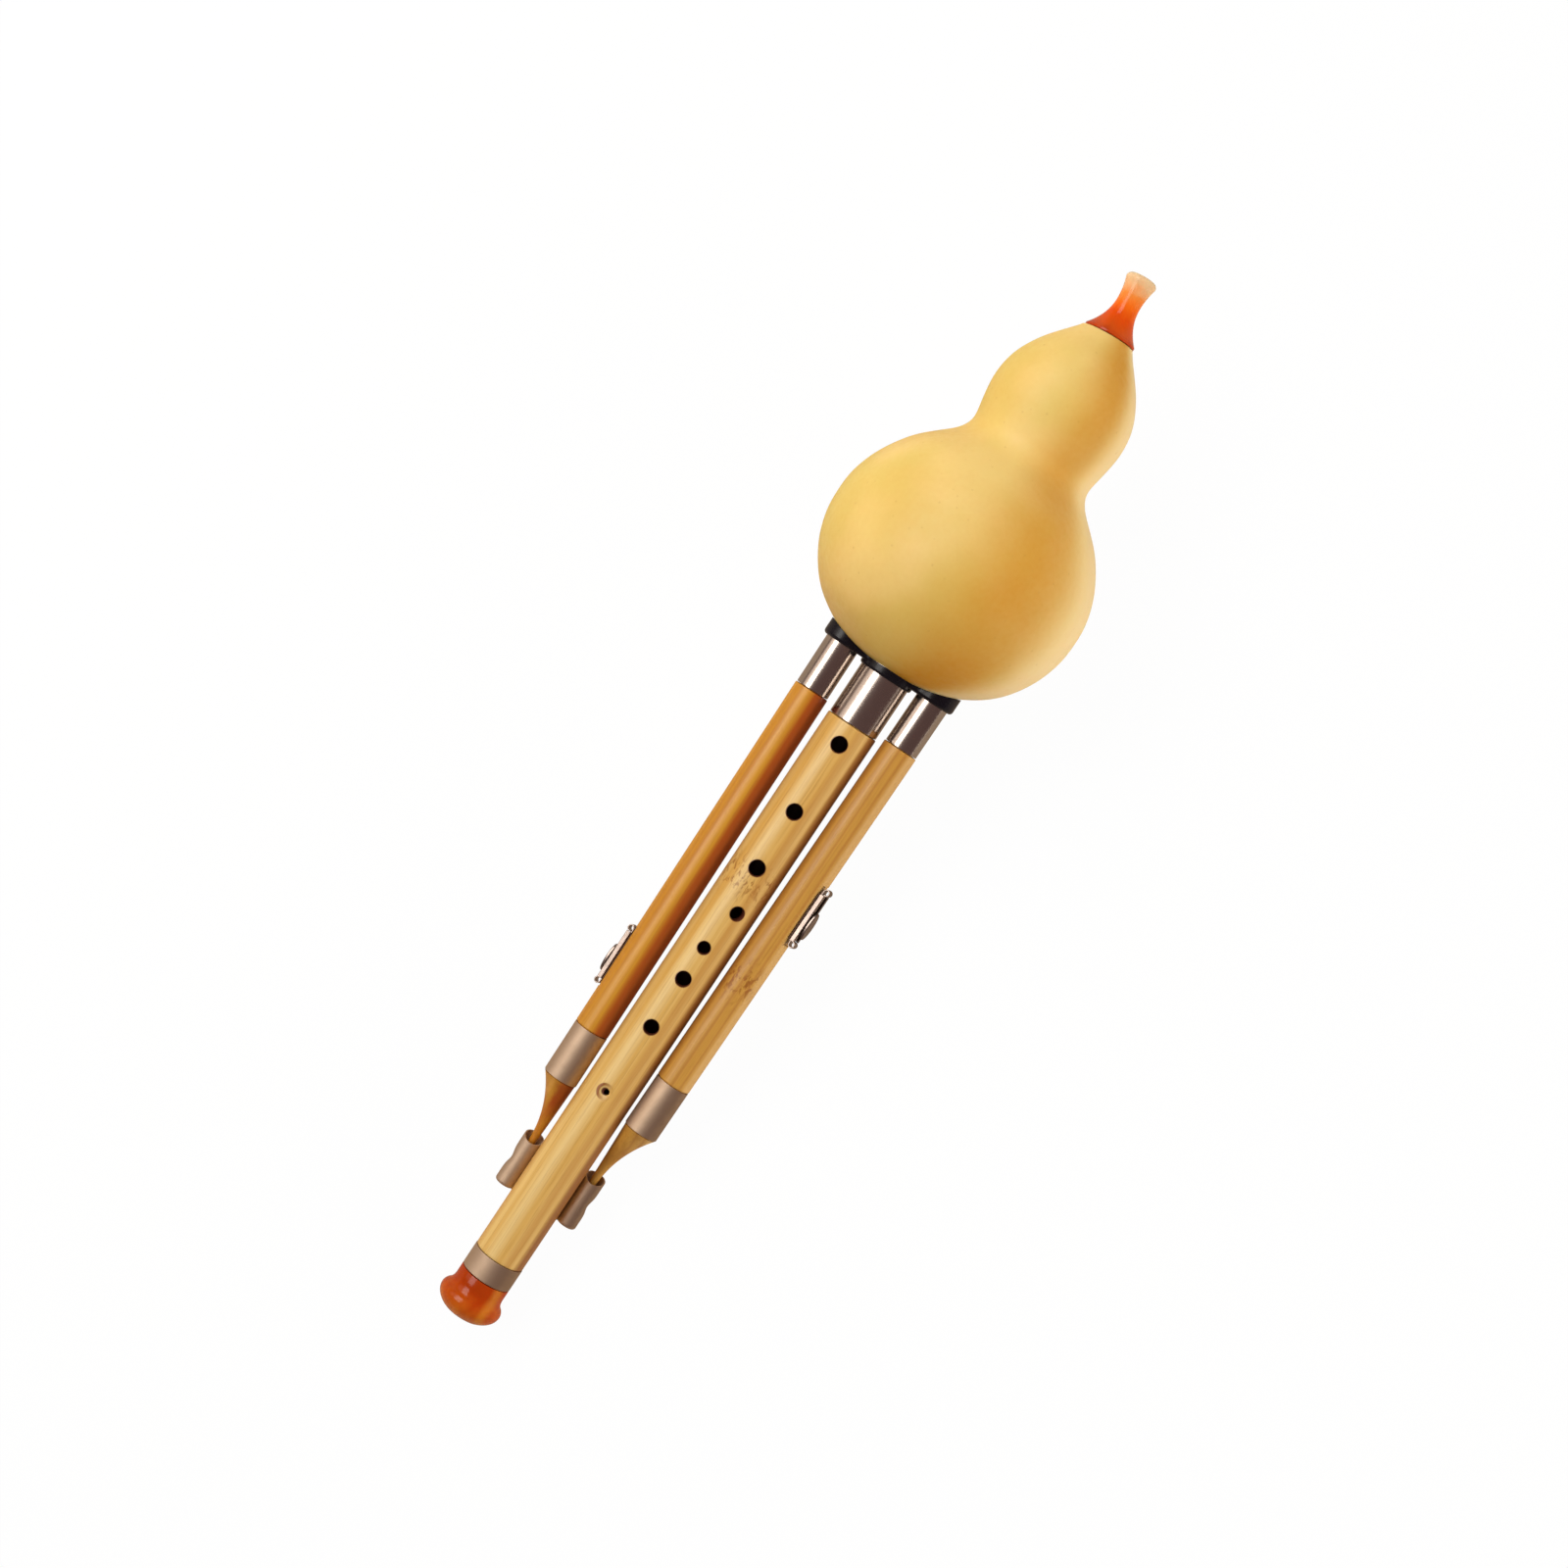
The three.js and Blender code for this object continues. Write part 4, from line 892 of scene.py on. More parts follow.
class HULUSI_OT_gourd(bpy.types.Operator):
    """Gourd wind chamber, a hollow shell with the holes for the pipes and the mouthpiece"""
    bl_idname = "hulusi.gourd"
    bl_label = "Gourd"

    def execute(self, context):
        gourd, base, mouth = sizes("gourd"), sizes("base"), sizes("mouth")
        outer = gourd_solid(0, 130, 192)
        unevenness, waves = 0.16, 0.045
        axis = Vector((-gourd.shift, 0))
        for vertex in outer.vertices:
            flat = vertex.co.xy - axis
            if flat.length > 1:
                spot = Vector((flat.x, flat.y, vertex.co.z)) * waves
                dip = unevenness * (1 + noise.noise(spot))
                vertex.co.xy = axis + flat * (1 - dip / flat.length)
        cavity = gourd_solid(-gourd.wall, 60, 96)
        cavity.flip_normals()
        socket_top = GOURD_BOTTOM + MAIN_SOCKET_DEPTH
        holes = [rod(base.main_socket + SEAT_GAP, GOURD_BOTTOM - 2, socket_top)]
        for side in SIDES.values():
            bore = rod(base.drone_socket + SEAT_GAP, 0, DRONE_SOCKET_LENGTH, 48)
            holes.append(moved(bore, drone_place(side)))
        trim_height, neck_radius, neck_depth = 2.9, 5.9, 12
        trim = rod(mouth.skirt + 2, -SEAT_GAP, trim_height)
        neck = rod(neck_radius, -neck_depth, 0)
        holes += [moved(trim, mouth_place()), moved(neck, mouth_place())]
        shell = worked(together(outer, cavity), holes)
        settle("gourd_body", shell, "gourd", gourd_finish())
        return {"FINISHED"}


# ---------------------------------------------------------------- mouthpiece
class HULUSI_OT_mouthpiece(bpy.types.Operator):
    """Cast resin mouthpiece with its bore, skirt, flared tip and tenon"""
    bl_idname = "hulusi.mouthpiece"
    bl_label = "Mouthpiece"

    def execute(self, context):
        mouth = sizes("mouth")
        bore, tenon, deep, edge, waist_height, lip = 2.2, 5.6, -10, 0.8, 12.8, 1.8
        flare = mouth.height - lip
        line = rounded([(bore, deep, 0), (tenon, deep, 0.3), (tenon, 0, 0)], closed=False)
        line += rounded([(tenon, 0, 0), (mouth.skirt, 0, 0.25), (mouth.skirt, edge, 0)],
                        closed=False)[1:]
        line += bezier((mouth.skirt, edge), (mouth.waist, waist_height / 2),
                       (mouth.waist, waist_height), 26)
        line += bezier((mouth.waist, waist_height), (mouth.waist, mix(waist_height, flare, 0.5)),
                       (mouth.tip, flare), 16)
        line += arc((mouth.tip - lip, flare), lip, 0, 90, 10)[1:]
        line += [Vector((bore + 0.5, mouth.height))]
        line += bezier((bore + 0.3, mouth.height), (bore, mouth.height),
                       (bore, mouth.height - 0.3), 4)
        stops = [(0.0, linear("B43C0C")), (0.12, mouth.ruby), (0.3, linear("DA4A08")),
                 (0.5, mouth.orange), (0.7, linear("F08A3A")), (0.83, mouth.cream),
                 (1.0, linear("E6C79A"))]
        resin = resin_finish("cast_orange_resin", stops, mouth.height, 1.4)
        settle("mouthpiece", lathe(line, 72), "gourd", resin, mouth_place())
        return {"FINISHED"}


# ---------------------------------------------------------------- base plate and sockets
def plate_outline():
    """Outline of the plate: a lobe round each drone and a waist that swells in the middle."""
    base, spread = sizes("base"), sizes("drone").spread
    swell, steps = base.main_collar - 0.45, 160
    lobe = [Vector((spread + p.x, p.y)) for p in arc((0, 0), base.drone_collar, -90, 90, 48)]
    top = []
    for i in range(1, steps):
        x = mix(spread, -spread, i / steps)
        middle = math.sqrt(max(swell ** 2 - x ** 2, 0))
        side = math.sqrt(max(base.drone_collar ** 2 - (abs(x) - spread) ** 2, 0))
        top.append(Vector((x, max(middle, side, base.web))))
    line = lobe + top + [-p for p in lobe] + [-p for p in top]
    return eased(evenly(line, 240, closed=True), 10, closed=True)


class HULUSI_OT_base(bpy.types.Operator):
    """Black base plate fitted to the gourd, and the three polished sockets"""
    bl_idname = "hulusi.base"
    bl_label = "Base plate and sockets"

    def execute(self, context):
        base, outline = sizes("base"), plate_outline()
        top, edge, steps = PLATE_BOTTOM + base.rise, 1.3, 6
        straight, collar_fillet, drone_bore_length = 1.8, 1.1, 33
        rings = []
        for i in range(steps + 1):
            angle = math.pi / 2 * i / steps
            line = inset(outline, edge * (1 - math.sin(angle)))
            height = PLATE_BOTTOM + edge * (1 - math.cos(angle))
            rings.append([(*p, height) for p in line])
        for height in (PLATE_BOTTOM + straight, top):
            rings.append([(*p, height) for p in outline])
        collar_bottom, over = GOURD_BOTTOM - 1.95, top + 0.4
        collar = lathe(rounded([
            (0, collar_bottom, 0), (base.main_collar, collar_bottom, collar_fillet),
            (base.main_collar, over, 0), (0, over, 0)], closed=False), 96, closed=False)
        plate = worked(loft(rings), [collar], "UNION")
        bores = [rod(base.main_socket + PLATE_GAP, collar_bottom - 2, top + 3, 80)]
        for side in SIDES.values():
            bore = rod(base.drone_socket + PLATE_GAP, 0, drone_bore_length)
            bores.append(moved(bore, drone_place(side)))
        plate = worked(plate, [gourd_solid(PLATE_GAP, 110, 160)] + bores)
        settle("base_plate", plate, "gourd", plastic_finish())
        nickel = nickel_finish("polished")
        outer = base.main_socket
        socket = tube(outer - MAIN_SOCKET_WALL, outer, MAIN_SOCKET_MOUTH,
                      GOURD_BOTTOM + MAIN_SOCKET_DEPTH, (0.2, 0.22, 0.2, 0.2), 96)
        settle("main_socket", socket, "gourd", nickel)
        outer = base.drone_socket
        for word, side in SIDES.items():
            socket = tube(outer - THIN_WALL, outer, 0, DRONE_SOCKET_LENGTH,
                          (0.16, 0.2, 0.2, 0.16), 72)
            settle(f"{word}_socket", socket, "gourd", nickel,
                   drone_place(side))
        return {"FINISHED"}


# ---------------------------------------------------------------- melody pipe
# Each hole: share of the bamboo's height, diameter, and turn from the front in degrees
FINGER_HOLES = [
    (0.966, 5.6, 0), (0.842, 5.5, 0), (0.738, 5.6, 0), (0.662, 4.9, 19),
    (0.59, 4.4, 0), (0.532, 5.3, 0), (0.442, 5.2, 0), (0.911, 5.4, 180),
]
VENT = (0.318, 2.2, -6)
VENT_SINK = 2.9
MELODY_NODE_HEIGHT = 180.0
# Each streak of painted light: its low and high X, softness, strength and colour
# A painted highlight left of the middle, painted shade on the right side and at both edges
MELODY_PAINTED_LIGHT = [
    (-2.6, 0.4, 1.2, 0.15, "F0D49A"), (3.6, 6.2, 1.0, 0.55, "BC8440"),
    (8.0, 14, 0.9, 0.9, "8A4E1E"), (-14, -7.4, 0.8, 0.4, "C08A48"),
]


def melody_radius(height):
    melody = sizes("melody")
    return mix(melody.foot, melody.head, (height - PIPE_FOOT) / SPAN)


def hole_spot(height_share, turned):
    """Where the middle of a hole breaks through the skin."""
    height = PIPE_FOOT + height_share * SPAN
    radius, angle = melody_radius(height), math.radians(turned)
    return (radius * math.sin(angle), -radius * math.cos(angle), height)


class HULUSI_OT_melody_pipe(bpy.types.Operator):
    """Bamboo melody pipe with its finger holes, thumb hole and countersunk vent"""
    bl_idname = "hulusi.melody_pipe"
    bl_label = "Melody pipe"

    def execute(self, context):
        melody, bell = sizes("melody"), sizes("bell")
        foot_spigot = bell.ring - RING_WALL - SEAT_GAP
        spigot, spigot_top = 7.6, PIPE_HEAD + 30.4
        shares = [0.002, 0.004, *(i / 60 for i in range(1, 60)), 0.996, 0.998]
        heights = [PIPE_FOOT + s * SPAN for s in shares]
        line = rounded([(melody.bore, RING_BOTTOM, 0.2), (foot_spigot, RING_BOTTOM, 0.2),
                        (foot_spigot, PIPE_FOOT, 0)], closed=False)
        line += vectors(
            (melody.foot - 0.3, PIPE_FOOT), *((melody_radius(h), h) for h in heights),
            (melody.head - 0.1, PIPE_HEAD - 0.1), (melody.head - 0.3, PIPE_HEAD),
            (spigot, PIPE_HEAD), (spigot, PIPE_HEAD + 30.2), (7.4, spigot_top),
            (melody.bore, spigot_top))
        pipe = uneven(lathe(line, 112), melody.foot - 0.2, 0.05, 0.22)
        # The hot iron left each hole a little wider at the skin, with a rounded edge
        drills = []
        for height_share, diameter, turn in FINGER_HOLES:
            height = PIPE_FOOT + height_share * SPAN
            radius, skin_at = diameter / 2, melody_radius(height)
            bit = lathe([(0, 2), (radius - 0.12, 2), (radius, skin_at - 0.75),
                         (radius + 0.05, skin_at - 0.4), (radius + 0.3, skin_at - 0.1),
                         (radius + 0.9, skin_at + 0.5), (radius + 0.9, skin_at + 1.5),
                         (0, skin_at + 1.5)], 40, closed=False)
            drills.append(moved(bit, drill_place(height, turn)))
        height_share, diameter, turn = VENT
        height, small = PIPE_FOOT + height_share * SPAN, diameter / 2
        skin_at = melody_radius(height)
        cone = lathe([(0, skin_at - 1.2), (small, skin_at - 1.1), (VENT_SINK, skin_at - 0.02),
                      (VENT_SINK + 0.3, skin_at + 0.4), (0, skin_at + 0.4)], 40, closed=False)
        bit = rod(small, 2, skin_at - 0.5, 32)
        drills.append(moved(bit, drill_place(height, turn + 3)))
        pipe = worked(pipe, [together(*drills), moved(cone, drill_place(height, turn))])
        bamboo = bamboo_finish("lacquered_pale_bamboo", melody.pale, melody.honey, melody.scar,
                               MELODY_NODE_HEIGHT, 6.0, MELODY_PAINTED_LIGHT, burnt_holes)
        settle("main_pipe", pipe, "melody_pipe", bamboo)
        return {"FINISHED"}


# ---------------------------------------------------------------- bell and ring
class HULUSI_OT_bell(bpy.types.Operator):
    """Turned resin bell with a rolled lip, and the satin ring above it"""
    bl_idname = "hulusi.bell"
    bl_label = "Bell and ring"

    def execute(self, context):
        bell = sizes("bell")
        bore, mouth, lip_height, roll, turn, dome = 4.5, 5.1, 5.5, 3.0, 50, 6.9
        tenon, tenon_top, neck_low = 5.7, bell.height + 15, bell.height - 3.7
        centre = bell.lip - roll
        lip_end = centre + roll * math.cos(math.radians(turn))
        lip_top = lip_height + roll * math.sin(math.radians(turn))
        control = lip_top + (lip_end - bell.neck) / math.tan(math.radians(turn))
        start = -math.degrees(math.asin(lip_height / dome))
        line = vectors((bore, tenon_top), (bore, bell.height))
        line += bezier((bore, bell.height), (bore, bell.height * 0.3), (mouth, 0.35), 14)
        line += bezier((mouth, 0.35), (mouth + 0.05, 0), (mouth + 0.3, 0), 3)
        line += arc((0, lip_height), bell.lip, start + 1.5, 0, 26, dome / bell.lip)
        line += arc((centre, lip_height), roll, 0, turn, 12)[1:]
        line += bezier((lip_end, lip_top), (bell.neck, control), (bell.neck, neck_low), 16)
        line += vectors((bell.neck, bell.height - 0.2), (bell.neck - 0.15, bell.height),
                        (tenon, bell.height), (tenon, tenon_top))
        stops = [(0.0, bell.glow), (0.3, linear("BE5410")), (0.5, linear("B2460A")),
                 (0.72, bell.amber), (1.0, linear("A43604"))]
        # A painted highlight: a paler amber streak down the right of the neck
        resin = resin_finish("cast_amber_resin", stops, bell.height, 2.6,
                             [(6.4, 9.0, 1.1, 0.6, "CE7E22")])
        settle("bell", lathe(line, 96), "melody_pipe", resin)
        ring = tube(bell.ring - RING_WALL, bell.ring, RING_BOTTOM, RING_BOTTOM + 8.15,
                    (0.2, 0.22, 0.15, 0.15), 96)
        settle("bell_ring", ring, "melody_pipe", nickel_finish("satin"))
        return {"FINISHED"}


# ---------------------------------------------------------------- tail clip
CLIP_TUBE_TURN = 19
CLIP_WALL = 0.5
RIM_SLANT = 21
# Heights of the rings of a tube's wall, closer round the dent
CLIP_LEVELS = (2, 3.5, 5, 6.2, 7.2, 8, 8.7, 9.3, 9.8, 10.3, 10.8, 11.4, 12.1, 13, 14, 15.2,
               16.5, 18, 19.5)
DENT_HEIGHT = 9.7
DENT_REACH = 2.4
DENT_DEPTH = 0.85


def clip_tube_centre(side):
    tail = sizes("tail")
    band = melody_radius(CLIP_BOTTOM + tail.clip) + SEAT_GAP
    distance = band + 0.1 + tail.tube
    angle = math.radians(CLIP_TUBE_TURN)
    return Vector((side * distance * math.cos(angle), distance * math.sin(angle)))


def rim_drop(depth):
    """How far the slanted rim lies under the back of the tube, a depth behind its middle."""
    radius = sizes("tail").tube
    slant = math.tan(math.radians(RIM_SLANT))
    return 2 * radius * slant * ((radius - depth) / (2 * radius)) ** 1.4


def clip_tube(side):
    """Rolled tube of the clip: pinched on its outer side, drawn in at its foot."""
    tail = sizes("tail")
    centre = clip_tube_centre(side)
    outer_way = math.atan2(centre.y, centre.x)
    wall, foot, rim, steps, slant_start = CLIP_WALL, 1.1, 0.14, 48, 12
    levels = []
    for i in range(9):
        angle = math.pi / 2 * i / 8
        levels.append((foot * (1 - math.cos(angle)), -foot * (1 - math.sin(angle))))
    levels += [(height, 0) for height in CLIP_LEVELS]
    outside = levels + [(tail.clip - rim, 0), (tail.clip, -rim)]
    inside = [(tail.clip, -wall + rim), (tail.clip - rim, -wall)]
    inside += [(h + (wall if h < foot else 0), o - wall) for h, o in reversed(levels)]
    rings = []
    for height, offset in outside + inside:
        reach = (height - DENT_HEIGHT) / DENT_REACH
        slanted = max(0, (height - slant_start) / (tail.clip - slant_start)) ** 1.5
        dent = DENT_DEPTH * math.exp(-reach * reach)
        ring = []
        for k in range(steps):
            angle = TURN * k / steps
            facing = max(0, math.cos(angle - outer_way)) ** 2
            radius = tail.tube + offset - dent * facing
            drop = slanted * rim_drop(tail.tube * math.sin(angle))
            ring.append((centre.x + radius * math.cos(angle),
                         centre.y + radius * math.sin(angle), CLIP_BOTTOM + height - drop))
        rings.append(ring)
    return loft(rings, closed=True)


class HULUSI_OT_tail_clip(bpy.types.Operator):
    """One metal strip behind the melody pipe, rolled into a tube at each end"""
    bl_idname = "hulusi.tail_clip"
    bl_label = "Tail clip"

    def execute(self, context):
        tail, steps = sizes("tail"), 60
        inner = melody_radius(CLIP_BOTTOM + tail.clip) + SEAT_GAP
        corners = [(inner, 0.0, 0.12), (inner + CLIP_WALL, 0.0, 0.2),
                   (inner + CLIP_WALL, tail.clip, 0.2), (inner, tail.clip, 0.12)]
        section = rounded(corners, steps=3)
        rings = []
        for i in range(steps + 1):
            angle = math.radians(mix(CLIP_TUBE_TURN, 180 - CLIP_TUBE_TURN, i / steps))
            behind = min(inner * math.sin(angle) - clip_tube_centre(1).y, tail.tube)
            fall = max(rim_drop(behind) + 0.05, 0)
            rings.append([(p.x * math.cos(angle), p.x * math.sin(angle),
                           CLIP_BOTTOM + p.y - (fall if p.y > tail.clip / 2 else 0))
                          for p in section])
        clip = worked(loft(rings), [clip_tube(-1), clip_tube(1)], "UNION")
        settle("tail_clip", clip, "melody_pipe", nickel_finish("satin"))
        return {"FINISHED"}


# ---------------------------------------------------------------- drones
# Share of the drone's length where its key sits, and the key's turn in degrees
KEYS = {"left": (0.187, 165), "right": (0.531, -18)}
DRONE_NODE_HEIGHTS = {"left": -260.0, "right": -95.0}
# Painted light on the drones: on the left one a painted highlight near the middle and painted shade on the side
# towards the melody pipe; on the right one painted shade on that side, two thin orange-brown lines and a painted
# highlight on the far side
DRONE_PAINTED_LIGHT = {
    "left": [(-1.4, 0.2, 0.6, 0.4, "DFA048"), (1.9, 12, 1.3, 0.85, "A63E04"),
             (5.0, 12, 0.8, 0.5, "7A2602")],
    "right": [(-12, -4.0, 0.8, 0.6, "9A5A22"), (0.2, 0.9, 0.4, 0.5, "A9682A"),
              (3.0, 3.7, 0.4, 0.5, "A9682A"), (4.6, 12, 0.8, 0.45, "EBC07C")],
}
SHEET = 0.4
LIP = 0.35
HOLE_RADIUS = 1.5


def drone_radius(height):
    drone = sizes("drone")
    return mix(drone.foot, drone.head, (height + SEAT_GAP + drone.length) / drone.length)


def key_place(word):
    """Place of a key on its drone: its own X points out of the pipe."""
    height_share, turn = KEYS[word]
    drone = sizes("drone")
    height = -SEAT_GAP - drone.length + height_share * drone.length
    return Matrix.Translation((0, 0, height)) @ Matrix.Rotation(math.radians(turn), 4, "Z")


def key_levels(word):
    """Distances from the drone's axis to its flat and the layers of its key, going out."""
    drone = sizes("drone")
    flat = mix(drone.foot, drone.head, KEYS[word][0]) - 1
    gasket = 0.3
    plate = flat + SEAT_GAP + gasket + SEAT_GAP
    tongue = plate + SHEET + SEAT_GAP
    lip = tongue + SHEET + SEAT_GAP
    return flat, plate, tongue, lip, lip + LIP + SEAT_GAP


def channel_half():
    key = sizes("key")
    return key.length / 2 - 2 * key.roll


def sound_hole_height():
    half = channel_half()
    tongue = half - SEAT_GAP - sizes("key").travel / 2
    return -(half - SEAT_GAP + tongue - sizes("key").travel / 2) / 2


def sideways_rod(radius, low, high, height, steps=32):
    turned = Matrix.Translation((0, 0, height)) @ Matrix.Rotation(math.pi / 2, 4, "Y")
    return moved(rod(radius, low, high, steps), turned)


class HULUSI_OT_drones(bpy.types.Operator):
    """Bamboo drones, each with a flat for its key, a sound hole and a spigot"""
    bl_idname = "hulusi.drones"
    bl_label = "Drone pipes"

    def execute(self, context):
        drone, scar = sizes("drone"), sizes("melody").scar
        foot = -SEAT_GAP - drone.length
        bore, spigot, spigot_top, far = 3.4, 4.5, 24.7, 9
        low_end = foot - FERRULE_SPIGOT_LENGTH
        shares = [0.0018, 0.004, *(i / 40 for i in range(1, 40)), 0.996, 0.9982]
        heights = [foot + s * drone.length for s in shares]
        for word, side in SIDES.items():
            line = vectors(
                (bore, low_end), (FERRULE_SPIGOT, low_end), (FERRULE_SPIGOT, foot),
                (drone.foot - 0.25, foot), (drone.foot - 0.08, foot + 0.06),
                *((drone_radius(h), h) for h in heights),
                (drone.head - 0.08, -SEAT_GAP - 0.06), (drone.head - 0.25, -SEAT_GAP),
                (spigot, -SEAT_GAP), (spigot, spigot_top - 0.2),
                (spigot - 0.2, spigot_top), (bore, spigot_top))
            pipe = uneven(lathe(line, 84), drone.foot - 0.2, 0.04, 0.3, side * 9)
            flat = key_levels(word)[0]
            half = sizes("key").length / 2 + SEAT_GAP
            cutters = [block((flat, -far, -half), (far, far, half)),
                       sideways_rod(HOLE_RADIUS, 0, far, sound_hole_height())]
            pipe = worked(pipe, [moved(c, key_place(word)) for c in cutters])
            pale, deep = getattr(drone, word + "_pale"), getattr(drone, word + "_deep")
            bamboo = bamboo_finish(f"lacquered_{word}_bamboo", pale, deep, scar,
                                   DRONE_NODE_HEIGHTS[word], 7.0, DRONE_PAINTED_LIGHT[word])
            settle(f"{word}_drone_pipe", pipe, f"{word}_drone", bamboo,
                   drone_place(side))
        return {"FINISHED"}


# ---------------------------------------------------------------- ferrules and tails
def scooped_tail(tree, given):
    """Round tail whose inner and back edges run straight to the tip, the rest scooped away."""
    around, along = 65, 49
    grid = add(tree, "GeometryNodeMeshGrid", 1, 1, around, along)
    place = add(tree, "GeometryNodeInputPosition")
    axes = add(tree, "ShaderNodeSeparateXYZ", place).outputs
    part = add(tree, "ShaderNodeMath", axes[1], 0.5, operation="ADD")
    angle = add(tree, "ShaderNodeMath", axes[0], TURN, operation="MULTIPLY")
    left = add(tree, "ShaderNodeMath", 1, part, operation="SUBTRACT")
    scoop = add(tree, "ShaderNodeMath", left, given["Hollow"], operation="POWER")
    radius = add(tree, "ShaderNodeMapRange", scoop, 0, 1, given["Tip radius"], given["Radius"])
    inner = add(tree, "ShaderNodeMapRange", part, 0, 1, given["Inner start"],
                given["Inner end"])
    back = add(tree, "ShaderNodeMapRange", part, 0, 1, given["Radius"], given["Back end"])
    middle_x = add(tree, "ShaderNodeMath", inner, radius, operation="ADD")
    middle_y = add(tree, "ShaderNodeMath", back, radius, operation="SUBTRACT")
    across = add(tree, "ShaderNodeMath", angle, operation="COSINE")
    deep = add(tree, "ShaderNodeMath", angle, operation="SINE")
    x, y, z = [add(tree, "ShaderNodeMath", *terms, operation="MULTIPLY_ADD") for terms in (
        (radius, across, middle_x), (radius, deep, middle_y),
        (part, given["Length"], given["Top"]))]
    place = add(tree, "ShaderNodeCombineXYZ", x, y, z)
    shaped = add(tree, "GeometryNodeSetPosition", Geometry=grid, Position=place)
    return add(tree, "GeometryNodeMergeByDistance", Geometry=shaped, Distance=0.0005)


class HULUSI_OT_tails(bpy.types.Operator):
    """Satin ferrules and the scooped bamboo tails that end in the clip"""
    bl_idname = "hulusi.tails"
    bl_label = "Ferrules and tails"

    def execute(self, context):
        tail, drone = sizes("tail"), sizes("drone")
        ferrule_top = -2 * SEAT_GAP - drone.length
        ferrule_bottom = ferrule_top - tail.ferrule
        tail_top = ferrule_bottom - SEAT_GAP
        for word, side in SIDES.items():
            ferrule = tube(tail.ferrule_radius - THIN_WALL, tail.ferrule_radius,
                           ferrule_bottom, ferrule_top, (0.15, 0.22, 0.22, 0.15), 72)
            settle(f"{word}_tail_ferrule", ferrule, f"{word}_drone",
                   nickel_finish("satin"), drone_place(side))
            centre = clip_tube_centre(side)
            tip = drone_place(side).inverted() @ Vector(
                (centre.x, centre.y, DRONE_MOUTH + tail_top - tail.length))
            bamboo = bpy.data.materials[f"lacquered_{word}_bamboo"]
            sheet = grown(f"{word}_scooped_tail", {
                "Radius": tail.radius, "Tip radius": tail.tip, "Hollow": tail.hollow,
                "Inner start": -tail.radius, "Inner end": side * tip.x - tail.tip,
                "Back end": tip.y + tail.tip, "Length": -tail.length, "Top": tail_top,
            }, scooped_tail, bamboo)
            if side < 0:
                sheet = moved(sheet, Matrix.Scale(-1, 4, (1, 0, 0)))
            with edited(sheet) as work:
                bmesh.ops.holes_fill(work, edges=work.edges, sides=0)
            plug = rod(FERRULE_SPIGOT, tail_top - 0.5, tail_top + FERRULE_SPIGOT_LENGTH)
            sheet = worked(outward(sheet), [plug], "UNION")
            settle(f"{word}_tail", sheet, f"{word}_drone", bamboo,
                   drone_place(side))
        return {"FINISHED"}


# ---------------------------------------------------------------- slide keys
def strip_section(half_width, thickness, fillet):
    """Rounded section of a strip: offset from its middle, and way across."""
    t = thickness / 2
    return rounded([(-t, -half_width, fillet), (t, -half_width, fillet),
                    (t, half_width, fillet), (-t, half_width, fillet)], steps=3)


def key_strip(plate):
    """Strip under the channel whose ends are rolled up as stops."""
    key = sizes("key")
    mean = key.roll - SHEET / 2
    centre_z, centre_x = channel_half() + key.roll, plate + key.roll
    path = []
    for i in range(41):
        angle = math.radians(mix(200, -90, i / 40))
        path.append((centre_x + mean * math.sin(angle), centre_z + mean * math.cos(angle),
                     math.sin(angle), math.cos(angle)))
    path += [(x, -z, nx, -nz) for x, z, nx, nz in reversed(path)]
    section = strip_section(1.7, SHEET, 0.14)
    return loft([[(x + nx * p.x, p.y, z + nz * p.x) for p in section] for x, z, nx, nz in path])


def extruded(section, half, edge, out=0.0):
    """A section drawn along Z and moved out, with a loop near each end."""
    return loft([[(out + p.x, p.y, z) for p in section]
                 for z in (-half, edge - half, half - edge, half)])


